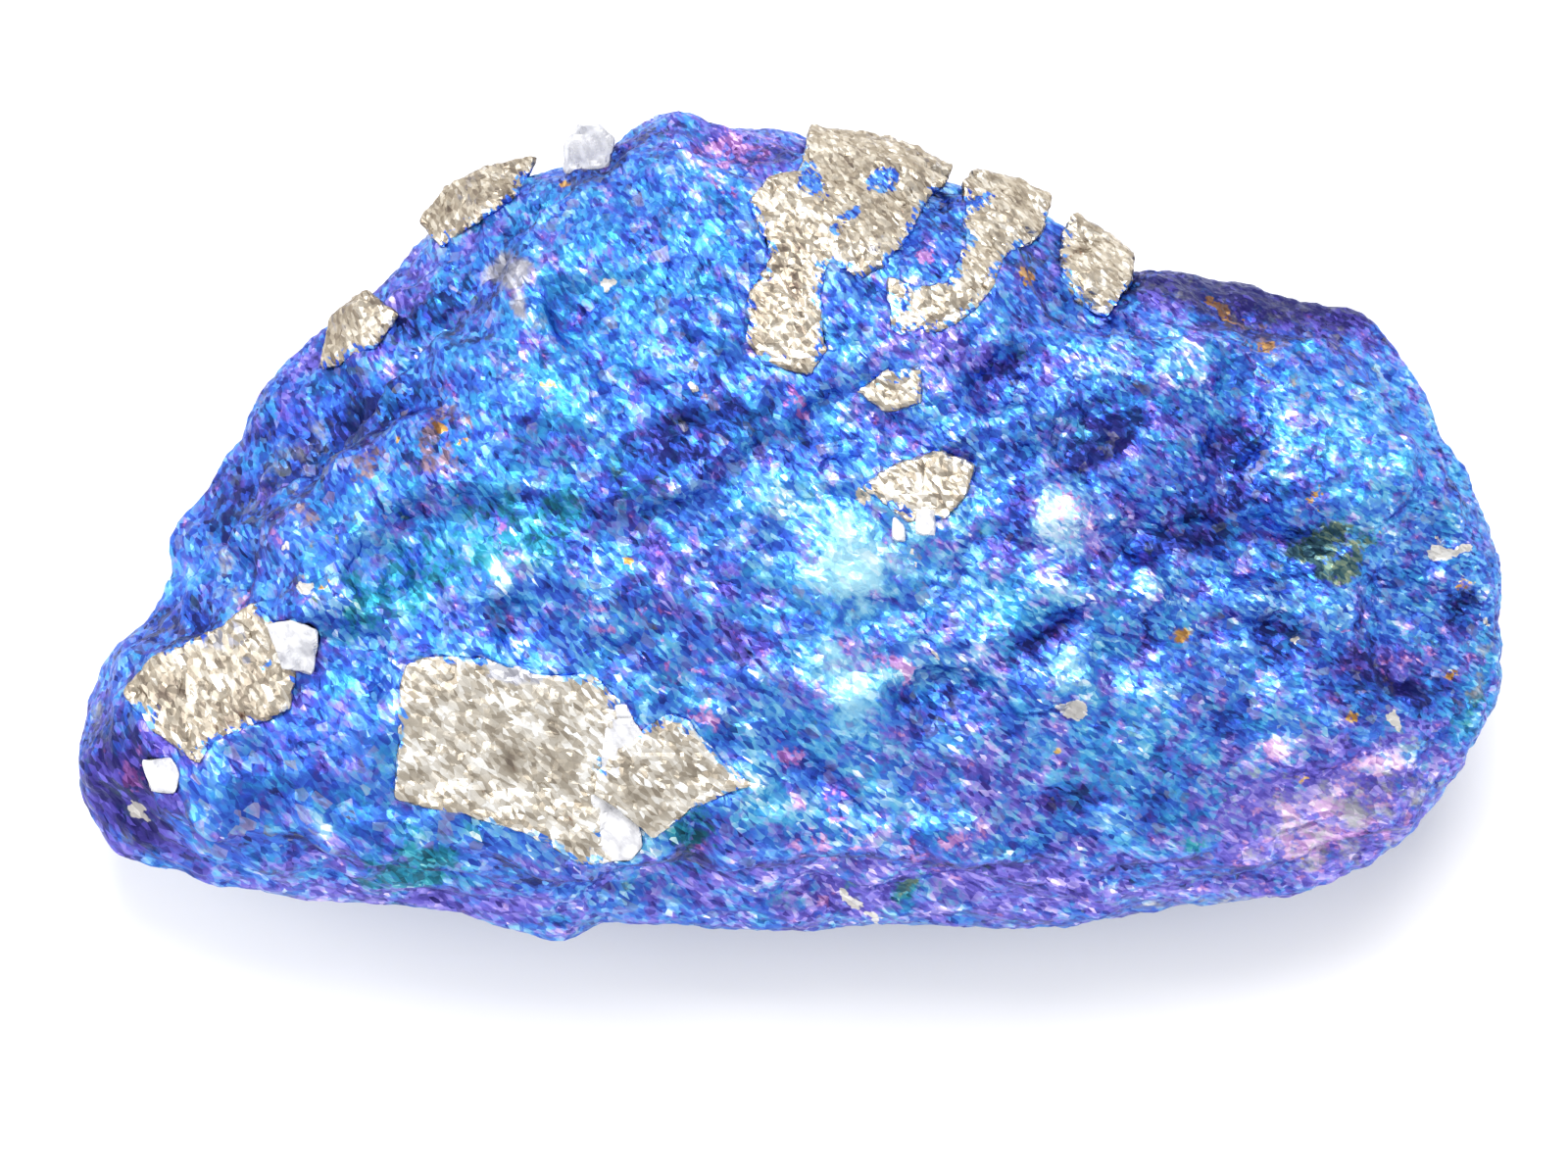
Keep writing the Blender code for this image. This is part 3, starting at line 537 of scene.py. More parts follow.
# %% Gold, cream, olive, rust, grey and brass
GOLD = [
    (-7.4, 2.1, 0.55, 0.4, -30, 0.95), (-6.75, 1.75, 0.4, 0.3, 20, 0.85),
    (-8.2, 1.85, 0.25, 0.3, 0, 0.9),
    (-5.1, 2.9, 0.5, 0.3, -20, 0.9), (-4.7, 7.2, 0.3, 0.3, 0, 0.9),
    (5.0, 5.2, 0.4, 0.3, -30, 1.0), (8.8, 4.7, 0.4, 0.3, 0, 0.9),
    (9.3, 4.4, 0.9, 0.35, -30, 1.0), (10.0, 3.7, 0.7, 0.5, -35, 0.95),
    (10.9, 0.5, 0.4, 0.4, -20, 1.0), (8.2, -2.3, 0.45, 0.3, -30, 1.0),
    (5.6, -4.7, 0.3, 0.3, 0, 1.0), (14.2, -1.2, 0.55, 0.4, 0, 1.0),
    (13.8, -3.1, 0.55, 0.4, 0, 1.0), (11.7, -4.0, 0.45, 0.4, 0, 0.95),
    (10.7, -5.3, 0.6, 0.3, 30, 0.9), (-9.7, -1.3, 0.3, 0.2, 0, 0.9),
    (-9.7, -1.9, 0.3, 0.2, 0, 0.7), (-8.4, 1.9, 0.6, 0.9, 30, 0.5),
    (-3.4, -0.8, 0.3, 0.2, 0, 0.9), (10.7, -6.9, 0.6, 0.2, 0, 0.8),
    (12.4, -0.2, 1.2, 0.4, -20, 0.5), (-7.6, 0.9, 1.6, 0.5, 20, 0.35),
]
CREAM = [
    (-2.0, 2.8, 0.35, 0.35, -30, 0.7), (13.8, -0.6, 0.9, 0.3, 10, 1.0),
    (13.5, -0.4, 0.3, 0.5, 0, 1.0), (12.6, -4.1, 0.2, 0.5, 20, 1.0),
    (10.5, -2.4, 0.3, 0.2, 0, 0.9), (-3.8, 4.9, 0.35, 0.2, 0, 0.85),
    (-10.5, -0.4, 0.4, 0.2, 0, 1.0), (-10.2, -1.3, 0.4, 0.2, -20, 1.0),
    (-9.3, -1.5, 0.5, 0.2, 10, 0.9), (5.9, -3.9, 0.5, 0.4, 0, 0.9),
    (-13.7, -6.0, 0.6, 0.2, -40, 0.9), (1.3, -7.9, 0.3, 0.6, 30, 1.0),
    (1.7, -8.2, 0.2, 0.6, 30, 1.0), (-2.8, 3.4, 0.5, 0.2, -30, 0.6),
    (3.0, -2.6, 0.2, 0.5, 20, 0.8), (14.6, -2.0, 0.2, 0.5, 0, 0.7),
    (2.6, -0.6, 0.1, 0.8, 0, 0.8),
]
OLIVE = [
    (11.3, -0.6, 2.0, 1.4, -12, 0.95), (-8.4, -1.9, 1.2, 1.0, 30, 0.45),
    (-7.0, -0.9, 2.2, 0.7, 20, 0.30), (2.5, -7.6, 0.8, 0.5, 0, 0.6),
    (-9.1, 0.0, 1.4, 0.9, 20, 0.60), (-9.8, -1.5, 0.8, 0.6, 0, 0.6),
]
RUST = [
    (-7.2, 1.7, 2.2, 1.6, 30, 0.90), (-8.8, 1.2, 1.6, 0.9, 20, 0.75),
    (-9.9, 0.2, 1.4, 1.2, 0, 0.70),
    (-5.2, 2.7, 0.8, 0.5, -20, 0.6), (-3.7, 4.7, 0.5, 0.4, 0, 0.7),
    (13.3, -0.1, 2.2, 0.6, -25, 0.55), (8.2, -2.3, 0.9, 0.5, -20, 0.7),
    (9.4, -2.0, 1.4, 0.5, 0, 0.45), (9.8, 3.9, 2.0, 0.9, -40, 0.75),
    (12.6, -3.4, 1.6, 0.9, -20, 0.45), (-1.9, 2.7, 0.6, 0.5, 0, 0.7),
    (10.8, -5.3, 1.4, 0.5, 20, 0.45), (5.0, 4.9, 1.2, 0.5, -20, 0.5),
    (-10.2, -1.3, 1.2, 0.6, 20, 0.5), (2.3, 1.1, 0.8, 0.4, 30, 0.4),
]
GREY = [
    (-5.9, 5.3, 0.9, 0.8, 0, 1.0), (-5.6, 4.6, 0.5, 0.9, 10, 1.0),
    (-5.4, 4.2, 0.5, 0.4, -20, 0.7), (-7.4, 6.2, 0.5, 0.5, 38, 1.0),
    (14.5, -3.0, 0.5, 1.6, -15, 0.6), (9.5, 4.6, 5.0, 0.7, -8, 0.45),
    (11.6, -6.1, 4.8, 2.0, 22, 0.58), (-14.4, -4.1, 0.7, 1.4, 0, 0.3),
    (-11.7, -0.6, 0.4, 1.2, -30, 0.6), (3.2, 5.3, 0.4, 0.3, 0, 0.4),
    (-10.2, 1.5, 2.8, 1.5, 30, 0.45),
    (9.0, -8.0, 4.0, 0.4, 4, 0.6), (-11.6, -1.6, 1.3, 0.5, 25, 0.5),
]
BRASS = [
    (6.2, 6.2, 1.6, 0.35, -28, 1.0), (2.0, 2.7, 1.0, 0.3, 10, 0.8),
    (-6.3, 7.3, 1.4, 0.4, 30, 0.6), (1.5, 0.6, 0.5, 0.3, 30, 0.9),
    (-13.3, -3.0, 0.4, 0.4, 0, 0.4),
]
print("ovals of flecks", sum(len(marks) for marks in (GOLD, CREAM, OLIVE, RUST, GREY, BRASS)))

# %% [markdown]
# ## Colour values on the skin
#
# An oval with a clean edge would look like a sticker. So noise tears each edge, and a list is
# more or less firm: a soft one fades out slowly, a firm one ends at its edge. This noise
# takes its seed from the clock unless it is given one, so it is given one. The ovals are seen
# from above, and they fade out down the sides. Painting the colours on a picture would need an
# unwrapped skin; instead the values are kept on its points, where the material reads them by
# name.

# %% Values on the points
TORN_SCALE = 1.6
TORN_SHIFT = 0.22
TORN_SEED = 7
FIRM = 3.0
NO_COLOUR_BELOW = 2.5
COLOUR_FADE = 1.5
noise.seed_set(TORN_SEED)


def ovals(points, marks, firm=FIRM):
    """How strongly a list of ovals covers each place, from 0 to 1, seen from above."""
    torn = [noise.noise_vector(Vector(place) * TORN_SCALE) for place in points]
    x, y = (points[:, :2] + TORN_SHIFT * np.array(torn)[:, :2]).T
    cover = np.zeros(len(points))
    for middle_x, middle_y, length, width, turn, strength in marks:
        cos, sin = math.cos(math.radians(turn)), math.sin(math.radians(turn))
        along = ((x - middle_x) * cos + (y - middle_y) * sin) / (0.5 * length)
        across = ((y - middle_y) * cos - (x - middle_x) * sin) / (0.5 * width)
        cover = np.maximum(cover, strength / (1.0 + (along ** 2 + across ** 2) ** firm))
    return cover * smoothstep((points[:, 2] - NO_COLOUR_BELOW) / COLOUR_FADE)


def keep_values(mesh, name, values):
    """Stores one number on each point, for the material to read by its name."""
    layer = mesh.attributes.new(name, "FLOAT", "POINT")
    layer.data.foreach_set("value", values.astype(np.float32))


ore_points = places(ore.data)
# Painted light and shade, together with the tarnish's own paler and darker patches
keep_values(ore.data, "tone_and_painted_light", ovals(ore_points, LIGHT_AND_PAINTED_GLINT, 1.5) - ovals(ore_points, DARK_AND_PAINTED_SHADE, 2.2))
for name, marks, firm in (("cyan", CYAN, 1.5), ("teal", TEAL, 1.5), ("violet", VIOLET, 1.5),
                          ("flush", FLUSH, 1.4), ("olive", OLIVE, 2.0), ("rust", RUST, 1.8),
                          ("calm", CALM, 1.5), ("rose", ROSE, 1.8), ("gold", GOLD, 2.5),
                          ("cream", CREAM, 4.0), ("grey", GREY, 3.0), ("brass", BRASS, 4.0)):
    keep_values(ore.data, name, ovals(ore_points, marks, firm))
print("colour values on", len(ore_points), "points")

# %% [markdown]
# ## Hollows and ridges
#
# A hollow sees less light and a ridge more, so the tone is painted darker in the hollows as
# shade and lighter on the ridges as light, and the tarnish is darker in the hollows as well.
# The skin is compared with a much smoothed copy of itself: what lies under the copy is a
# hollow, and what stands over it is a ridge. The small walls of the ledges get painted shade
# too, so the slope of a lightly smoothed copy is kept for the upper part of the lump.

# %% Depth of each place
DEPTH_TIMES = 60
WALL_TIMES = 8
DEEPEST = 0.5
WALL_SLOPE = 0.62
WALL_FADE = 0.35
WALLS_ABOVE = 5.5
WALLS_FADE = 1.5


def smoothed_places(times):
    """Points and point normals of a copy of the ore's skin that is smoothed so many times."""
    copy = bpy.data.objects.new("smooth_copy", ore.data.copy())
    bpy.context.scene.collection.objects.link(copy)
    smoothed(copy, times)
    found = places(copy.data), places(copy.data, "normal")
    bpy.data.objects.remove(copy, do_unlink=True)
    return found


level, upright = smoothed_places(DEPTH_TIMES)
# Painted shade in the hollows and painted light on the ridges, from how far each point lies under or over
# the smoothed copy
relief_light_and_shade = np.sum((places(ore.data) - level) * upright, axis=1)
keep_values(ore.data, "relief_light_and_shade", np.clip(relief_light_and_shade / DEEPEST, -1.0, 1.0))
level, upright = smoothed_places(WALL_TIMES)
# Painted shade on the steep walls of the ledges in the upper part of the lump
painted_wall_shade = smoothstep((WALL_SLOPE - upright[:, 2]) / WALL_FADE)
keep_values(ore.data, "painted_wall_shade", painted_wall_shade * smoothstep((level[:, 2] - WALLS_ABOVE) / WALLS_FADE))
print("hollows down to", round(float(relief_light_and_shade.min()), 2), "mm")

# %% [markdown]
# ## A material and words to build it with
#
# Real tarnish takes its colour from the thickness of its film. A shader can do the physics,
# but then nobody chooses where the blue is, and the colour is lost when the part goes to
# another program. So the tarnish is built from plain nodes. There are about 150 of them, too
# many to place one by one, so each short helper stands for one thing that a maker would say:
# add these with their weights, rise from here to there, blend this over that.

# %% A new material and its helpers
def new_material(name):
    material = bpy.data.materials.new(name)
    material.use_nodes = True
    return material, material.node_tree, material.node_tree.nodes["Principled BSDF"]


def feed(tree, socket, value):
    if isinstance(value, bpy.types.NodeSocket):
        tree.links.new(value, socket)
    else:
        socket.default_value = value


def node(tree, kind, *links, **values):
    """Adds a shader node. A value that is a socket is linked, anything else is set."""
    made = tree.nodes.new(kind)
    for key, value in values.items():
        if hasattr(made, key):
            setattr(made, key, value)
        else:
            feed(tree, made.inputs[key.replace("_", " ").title()], value)
    for index, value in enumerate(links):
        feed(tree, made.inputs[index], value)
    return made


def math_node(tree, operation, *values):
    return node(tree, "ShaderNodeMath", *values, operation=operation).outputs[0]


def weighted(tree, start, *pairs):
    """start plus each value times its weight."""
    total = start
    for value, weight in pairs:
        total = math_node(tree, "MULTIPLY_ADD", value, weight, total)
    return total


def stored(tree, name):
    return node(tree, "ShaderNodeAttribute", attribute_name=name).outputs["Fac"]


def ramp(tree, tone, *stops):
    """A colour for each tone; a stop is a position and a colour."""
    colours = node(tree, "ShaderNodeValToRGB", tone)
    ramp_stops = colours.color_ramp.elements
    for index, (position, colour) in enumerate(stops):
        stop = ramp_stops[index] if index < 2 else ramp_stops.new(position)
        stop.position = position
        stop.color = (*colour, 1.0)
    return colours.outputs["Color"]


def mixed(tree, share, first, second):
    mix = node(tree, "ShaderNodeMix", data_type="RGBA")
    feed(tree, mix.inputs[0], share)
    feed(tree, mix.inputs[6], first)
    feed(tree, mix.inputs[7], second)
    return mix.outputs[2]


def rising(tree, value, low, high):
    """0 below low, 1 above high and smooth between."""
    edge = node(tree, "ShaderNodeMapRange", interpolation_type="SMOOTHSTEP")
    feed(tree, edge.inputs["Value"], value)
    edge.inputs["From Min"].default_value = low
    edge.inputs["From Max"].default_value = high
    return edge.outputs["Result"]


def parts_of(tree, colour):
    """Three random numbers from the colour of a cell."""
    return node(tree, "ShaderNodeSeparateColor", colour).outputs


tarnish, tree, shader = new_material("tarnished_ore")
print("the new material has", len(tree.nodes), "nodes")

# %% [markdown]
# ## Grains of each size
#
# The colour changes from grain to grain, from cluster to cluster, and slowly over the whole
# lump. One noise with many octaves would blur all of these into one. So each size has a
# texture of its own: cells for the grains and their clusters, noise for the blotches, the
# drift and the clumps. Only the finest ones are long along the grain, as on the real lump.
# The textures read the place in grain axes, so that they run along the same arcs as the
# facets. The random colour of a grain's cell also leans its surface a little, which makes the
# grains sparkle one by one.

# %% Textures along the grain
GRAIN = (0.20, 0.078, 0.19)
CLUSTER = (0.26, 0.20, 0.30)
BLOTCH = (0.56, 0.50, 0.90)
DRIFT = (1.30, 1.30, 1.60)
CLUMP = (0.62, 0.52, 0.90)
RIDGE = (0.24, 0.09, 0.18)


def place_on_arcs(tree):
    """The place of a point in grain axes, as in_grain_axes gives it, made once in each tree."""
    made = tree.nodes.get("place_on_arcs")
    if made is None:
        x, y, z = node(tree, "ShaderNodeSeparateXYZ",
                       node(tree, "ShaderNodeTexCoord").outputs["Object"]).outputs
        to_x = math_node(tree, "SUBTRACT", ARC_MIDDLE[0] * MM, x)
        to_y = math_node(tree, "SUBTRACT", ARC_MIDDLE[1] * MM, y)
        turned = math_node(tree, "SUBTRACT", math_node(tree, "ARCTAN2", to_y, to_x), ARC_START)
        far = math_node(tree, "SQRT", weighted(tree, 0.0, (to_x, to_x), (to_y, to_y)))
        nearer = math_node(tree, "LOGARITHM", math_node(tree, "DIVIDE", ARC_REACH * MM, far), math.e)
        made = node(tree, "ShaderNodeCombineXYZ",
                    math_node(tree, "MULTIPLY", turned, ARC_REACH * MM),
                    math_node(tree, "MULTIPLY", nearer, ARC_REACH * MM), z)
        made.name = "place_on_arcs"
    return made.outputs[0]


def grain_cells(tree, along, across, up, kind="ShaderNodeTexVoronoi", **values):
    """A texture whose cells have a size in millimetres along the grain, across it and up."""
    sized = node(tree, "ShaderNodeMapping", place_on_arcs(tree), vector_type="TEXTURE")
    sized.inputs["Scale"].default_value = (along * MM, across * MM, up * MM)
    texture = node(tree, kind, sized.outputs["Vector"], **values)
    texture.inputs["Scale"].default_value = 1.0
    return texture


def facet_normal(tree, colour, amount):
    """Leans the surface by a random amount that is the same all over a cell."""
    lean = node(tree, "ShaderNodeVectorMath", colour, operation="SUBTRACT")
    lean.inputs[1].default_value = (0.5, 0.5, 0.5)
    size = node(tree, "ShaderNodeVectorMath", lean.outputs[0], operation="SCALE")
    feed(tree, size.inputs["Scale"], amount)
    upright = node(tree, "ShaderNodeNewGeometry").outputs["Normal"]
    total = node(tree, "ShaderNodeVectorMath", upright, size.outputs[0], operation="ADD")
    return node(tree, "ShaderNodeVectorMath", total.outputs[0], operation="NORMALIZE").outputs[0]


print("a grain is", GRAIN[0], "mm long and", GRAIN[1], "mm wide")

# %% [markdown]
# ## Ramps of colour
#
# One kind of tarnish isn't one colour: its shaded grains are deeper and its bright ones paler.
# So each kind has a ramp, which turns the tone of a grain into its colour, such as deep
# indigo, royal blue, sky blue and white glint. Mixing with black and white would make them
# dull, so each stop is a colour of its own.

# %% Colour ramps
BLUE = ((0.0, (0.010, 0.016, 0.110)), (0.26, (0.024, 0.062, 0.41)), (0.50, (0.047, 0.16, 0.61)),
        (0.72, (0.12, 0.33, 0.68)), (0.88, (0.31, 0.58, 0.80)), (1.0, (0.88, 0.94, 0.97)))
SKY = ((0.0, (0.009, 0.034, 0.120)), (0.26, (0.021, 0.135, 0.42)), (0.50, (0.040, 0.28, 0.60)),
       (0.72, (0.13, 0.46, 0.69)), (0.88, (0.36, 0.70, 0.81)), (1.0, (0.88, 0.96, 0.97)))
SHINE = ((0.0, (0.05, 0.20, 0.42)), (0.40, (0.16, 0.42, 0.66)), (0.75, (0.36, 0.68, 0.82)),
         (1.0, (0.84, 0.96, 0.98)))
OLIVES = ((0.0, (0.010, 0.028, 0.050)), (0.35, (0.034, 0.090, 0.110)), (0.65, (0.15, 0.22, 0.16)),
          (1.0, (0.66, 0.66, 0.38)))
RUSTY = ((0.0, (0.06, 0.04, 0.07)), (0.40, (0.22, 0.15, 0.20)), (0.75, (0.46, 0.34, 0.35)),
         (1.0, (0.78, 0.64, 0.60)))
GREEN = ((0.0, (0.006, 0.035, 0.055)), (0.30, (0.012, 0.11, 0.17)), (0.55, (0.018, 0.22, 0.36)),
         (0.80, (0.07, 0.42, 0.48)), (1.0, (0.70, 0.92, 0.86)))
PURPLE = ((0.0, (0.014, 0.011, 0.100)), (0.28, (0.060, 0.045, 0.30)), (0.52, (0.14, 0.115, 0.54)),
          (0.74, (0.31, 0.26, 0.70)), (0.90, (0.66, 0.54, 0.92)), (1.0, (1.0, 0.93, 1.0)))
PINK = ((0.0, (0.08, 0.02, 0.13)), (0.35, (0.25, 0.10, 0.36)), (0.65, (0.52, 0.30, 0.62)),
        (0.88, (0.88, 0.62, 0.86)), (1.0, (1.0, 0.95, 1.0)))
AMBER = ((0.0, (0.12, 0.05, 0.02)), (0.35, (0.36, 0.18, 0.05)), (0.65, (0.66, 0.42, 0.13)),
         (0.90, (0.95, 0.80, 0.55)), (1.0, (1.0, 0.97, 0.85)))
ASH = ((0.0, (0.10, 0.10, 0.13)), (0.5, (0.33, 0.33, 0.38)), (1.0, (0.72, 0.72, 0.75)))
IVORY = ((0.0, (0.34, 0.32, 0.30)), (0.5, (0.62, 0.60, 0.56)), (1.0, (0.95, 0.94, 0.90)))
CONFETTI = ((0.0, (0.16, 0.30, 0.16)), (0.25, (0.34, 0.34, 0.12)), (0.45, (0.62, 0.56, 0.44)),
            (0.65, (0.50, 0.34, 0.62)), (1.0, (0.10, 0.42, 0.50)))
BRASSY = ((0.0, (0.13, 0.10, 0.08)), (0.35, (0.31, 0.265, 0.205)), (0.62, (0.48, 0.43, 0.35)),
          (0.85, (0.74, 0.70, 0.62)), (1.0, (1.0, 1.0, 0.97)))
print("the blue ramp runs from", BLUE[0][1], "to", BLUE[-1][1])

# %% [markdown]
# ## The tone of each grain
#
# The tone says how bright a grain is within its ramp. It adds up the random numbers of the
# grain, its cluster and its blotch, the slow drift, the paler and darker patches with their
# painted light and shade given by the ovals, and the painted shade of the hollows and painted
# light of the ridges. A few grains get painted glints and a few are black, and the walls of the
# ledges get painted shade. Where the lump is calm the grains differ less and their clusters
# more. In a flush, the bright film hides more than half of these differences.

# %% Tones
TONE_START = 0.24
GRAIN_TONE = 0.50
BLOTCH_TONE = 0.68
CLUSTER_TONE = 0.22
DRIFT_TONE = 0.45
TONE_AND_PAINTED_LIGHT_WEIGHT = 0.85
RELIEF_LIGHT_AND_SHADE_TONE = 0.30
WALL_SHADE_TONE = -0.26
# A few grains are painted brighter as glints, as if they caught the light
PAINTED_GLINT_EDGE = 0.90
PAINTED_GLINT_TONE = 0.18
BLACKENED = 0.90
BLACK_TONE = -0.12
SHARP_STEP = 0.02
CALMED = 0.60
CLUSTERED = 0.70
EVENED = 0.56
FLUSH_TONE = 0.97


def over(tree, value, edge):
    """1 where a random number is over an edge, and 0 elsewhere."""
    return rising(tree, value, edge, edge + SHARP_STEP)


def tarnish_tones(tree):
    """The tone of each grain from 0 to 1, and the random colour of the grain's cell."""
    cell = grain_cells(tree, *GRAIN).outputs["Color"]
    odd = parts_of(tree, cell)
    cluster = parts_of(tree, grain_cells(tree, *CLUSTER).outputs["Color"])
    blotch = grain_cells(tree, *BLOTCH, "ShaderNodeTexNoise", detail=2.0, roughness=0.8)
    drift = grain_cells(tree, *DRIFT, "ShaderNodeTexNoise", detail=2.0, roughness=0.5)
    spread = weighted(
        tree, -0.5 * (GRAIN_TONE + BLOTCH_TONE), (odd[0], GRAIN_TONE),
        (blotch.outputs["Fac"], BLOTCH_TONE),
        # painted glints on a few grains
        (over(tree, odd[1], PAINTED_GLINT_EDGE), PAINTED_GLINT_TONE),
        (over(tree, odd[2], BLACKENED), BLACK_TONE))
    calm = stored(tree, "calm")
    lively = weighted(tree, 1.0, (calm, -CALMED))
    clustered = weighted(tree, CLUSTER_TONE, (calm, CLUSTER_TONE * CLUSTERED))
    cluster_tone = math_node(tree, "SUBTRACT", cluster[0], 0.5)
    tone = weighted(
        tree, TONE_START, (spread, lively), (cluster_tone, clustered),
        (drift.outputs["Fac"], DRIFT_TONE), (stored(tree, "tone_and_painted_light"), TONE_AND_PAINTED_LIGHT_WEIGHT),
        (stored(tree, "relief_light_and_shade"), RELIEF_LIGHT_AND_SHADE_TONE), (stored(tree, "painted_wall_shade"), WALL_SHADE_TONE))
    flush = stored(tree, "flush")
    rest = weighted(tree, 1.0, (flush, -EVENED))
    tone = weighted(tree, 0.0, (math_node(tree, "MULTIPLY", tone, rest), 1.0),
                    (flush, EVENED * FLUSH_TONE))
    return tone, cell, cluster


tone, cell, cluster = tarnish_tones(tree)
print("tones from", len(tree.nodes), "nodes")

# %% [markdown]
# ## The colour of each grain
#
# The ore is blue first. Then each other kind of tarnish is washed over it, where its value on
# the skin says so. A wash with a soft edge would look airbrushed, so noise pulls the edge
# about by clumps of grains, and each grain adds a small chance of its own: the value on the
# skin pulls the colour in, and the wandering noise decides how far. A few clusters are odd
# ones of green, tan, lilac or teal, which show best where the lump is calm.

# %% Washes of colour
WANDER = 2.4
CHANCE = 0.13
ODD_ONES = 0.86
ODD_SHARE = 0.22
ODD_IN_CALM = 0.60
ODD_GREYED = 0.5
# Each wash has the name of its value, its ramp, the part of the noise that moves it, its edge,
# how hard its value pulls, and how soft its edge is
WASHES = (
    ("cyan", SKY, 0, 0.18, 0.58, 0.30), ("violet", PURPLE, 1, 0.24, 0.72, 0.22),
    ("teal", GREEN, 2, 0.49, 0.88, 0.20), ("flush", SHINE, 0, 0.71, 1.10, 0.35),
    ("olive", OLIVES, 2, 0.71, 0.97, 0.15), ("rose", PINK, 1, 0.47, 0.58, 0.08),
    ("rust", RUSTY, 2, 0.71, 0.80, 0.15), ("gold", AMBER, 0, 0.74, 0.90, 0.08),
    ("brass", BRASSY, 1, 0.71, 1.10, 0.08), ("grey", ASH, 2, 0.71, 1.05, 0.35),
    ("cream", IVORY, 0, 0.74, 1.15, 0.06),
)


def tarnish_colour(tree, tone, odd, cluster):
    """Blends the ramps by the values kept on the skin, torn by noise into clumps of grains."""
    clump = grain_cells(tree, *CLUMP, "ShaderNodeTexNoise", detail=3.0, roughness=0.75)
    clump_parts = parts_of(tree, clump.outputs["Color"])
    other = mixed(tree, ODD_GREYED, ramp(tree, cluster[2], *CONFETTI), ramp(tree, tone, *ASH))
    odd_share = weighted(tree, ODD_SHARE, (stored(tree, "calm"), ODD_IN_CALM))
    odd_one = math_node(tree, "MULTIPLY", over(tree, cluster[1], ODD_ONES), odd_share)
    colour = mixed(tree, odd_one, ramp(tree, tone, *BLUE), other)
    for name, stops, part, edge, pull, soft in WASHES:
        cover = weighted(tree, -0.5 * (WANDER + CHANCE), (stored(tree, name), pull),
                         (clump_parts[part], WANDER), (odd[part], CHANCE))
        colour = mixed(tree, rising(tree, cover, edge - soft, edge + soft), colour,
                       ramp(tree, tone, *stops))
    return colour


odd = parts_of(tree, cell)
feed(tree, shader.inputs["Base Color"], tarnish_colour(tree, tone, odd, cluster))
print("tarnish from", len(tree.nodes), "nodes and", len(WASHES), "washes")

# %% [markdown]
# ## The shine of the ore
#
# Tarnished ore is metal under a film, so it shines like metal, and rougher in some grains
# than in others. A full metal turns white at grazing angles, but this film keeps the edges
# blue, so the shader gets a tint for them. Fine ridges in the bump add the finest relief, on
# top of the facets of the skin, which are real geometry.

# %% Shine and fine relief
METALLIC = 0.85
EDGE_TINT = (0.66, 0.70, 0.86, 1.0)
ORE_ROUGHNESS = 0.32
ORE_ROUGHNESS_SPREAD = 0.20
GRAIN_LEAN = 0.16
RIDGE_STRENGTH = 0.25
RIDGE_HEIGHT = 0.03

feed(tree, shader.inputs["Roughness"], weighted(tree, ORE_ROUGHNESS, (odd[2], ORE_ROUGHNESS_SPREAD)))
shader.inputs["Metallic"].default_value = METALLIC
shader.inputs["Specular Tint"].default_value = EDGE_TINT
ridges = grain_cells(tree, *RIDGE, "ShaderNodeTexNoise", detail=2.0)
bump = node(tree, "ShaderNodeBump")
bump.inputs["Strength"].default_value = RIDGE_STRENGTH
bump.inputs["Distance"].default_value = RIDGE_HEIGHT * MM
feed(tree, bump.inputs["Height"], ridges.outputs["Fac"])
feed(tree, bump.inputs["Normal"], facet_normal(tree, cell, GRAIN_LEAN))
feed(tree, shader.inputs["Normal"], bump.outputs["Normal"])
ore.data.materials.clear()
ore.data.materials.append(tarnish)
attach(ore, "root")
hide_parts("ore_body")
print("the finished tarnish has", len(tree.nodes), "nodes")

# %% [markdown]
# ## Pyrite crystals
#
# The pyrite broke with the ore. Its cubes were cut across, so each one shows a flat patch
# with straight edges that is grainy like lump sugar. Each packed crystal is widened until it
# fills its pocket, because the real one has grown there. It is sunk a very little, so that it
# lies in the ore and not on it, and its face is broken into small facets in the same way as
# the ore.

# %% Grown and broken crystals
POCKET_GAP = 0.2
OVERLAP = 0.07
UPRIGHT = 0.25
LONGEST_CORNER = 2.0
PYRITE_VOXEL = 0.075
PYRITE_SUNK = 0.035
SUGAR = (0.21, 0.15, 0.22)
SUGAR_STEP = 0.020
SUGAR_TILT = 0.045
WORN = (0.60, 0.35, 0.35)
WORN_HEIGHT = 0.035


def grown(mesh, amount):
    """Moves each upright side outwards by an amount and keeps the corners between them sharp."""
    shape = bmesh.new()
    shape.from_mesh(mesh)
    shape.normal_update()
    moves = []
    for point in shape.verts:
        sides = [face.normal.xy.normalized() for face in point.link_faces
                 if abs(face.normal.z) < UPRIGHT]
        if sides:
            move = np.linalg.lstsq(np.array(sides), np.full(len(sides), amount), rcond=None)[0]
            longest = LONGEST_CORNER * amount / max(float(np.hypot(*move)), amount)
            moves.append((point, Vector((*(move * min(1.0, longest)), 0.0))))
    for point, move in moves:
        point.co += move * MM
    shape.to_mesh(mesh)
    shape.free()


def sugar(points):
    heights = []
    for place in in_grain_axes(points):
        grain = chip(place, SUGAR, SUGAR_STEP, SUGAR_TILT)
        heights.append(grain + WORN_HEIGHT * noise.noise(stretched(place, WORN)))
    return np.array(heights) - np.mean(heights)


def crystal_skin(source, name, voxel, growth, sunk, height_at):
    """A packed crystal, grown sideways, sunk a little and broken by height_at."""
    obj = packed_copy(source, name)
    grown(obj.data, growth)
    with_even_skin(obj, voxel)
    points = places(obj.data) - np.array([0.0, 0.0, sunk])
    normals = places(obj.data, "normal")
    move_to(obj.data, keep_in_box(points + normals * height_at(points)[:, None]))
    obj.data.shade_flat()
    return obj


print("each pyrite crystal is widened by", POCKET_GAP + OVERLAP, "mm")
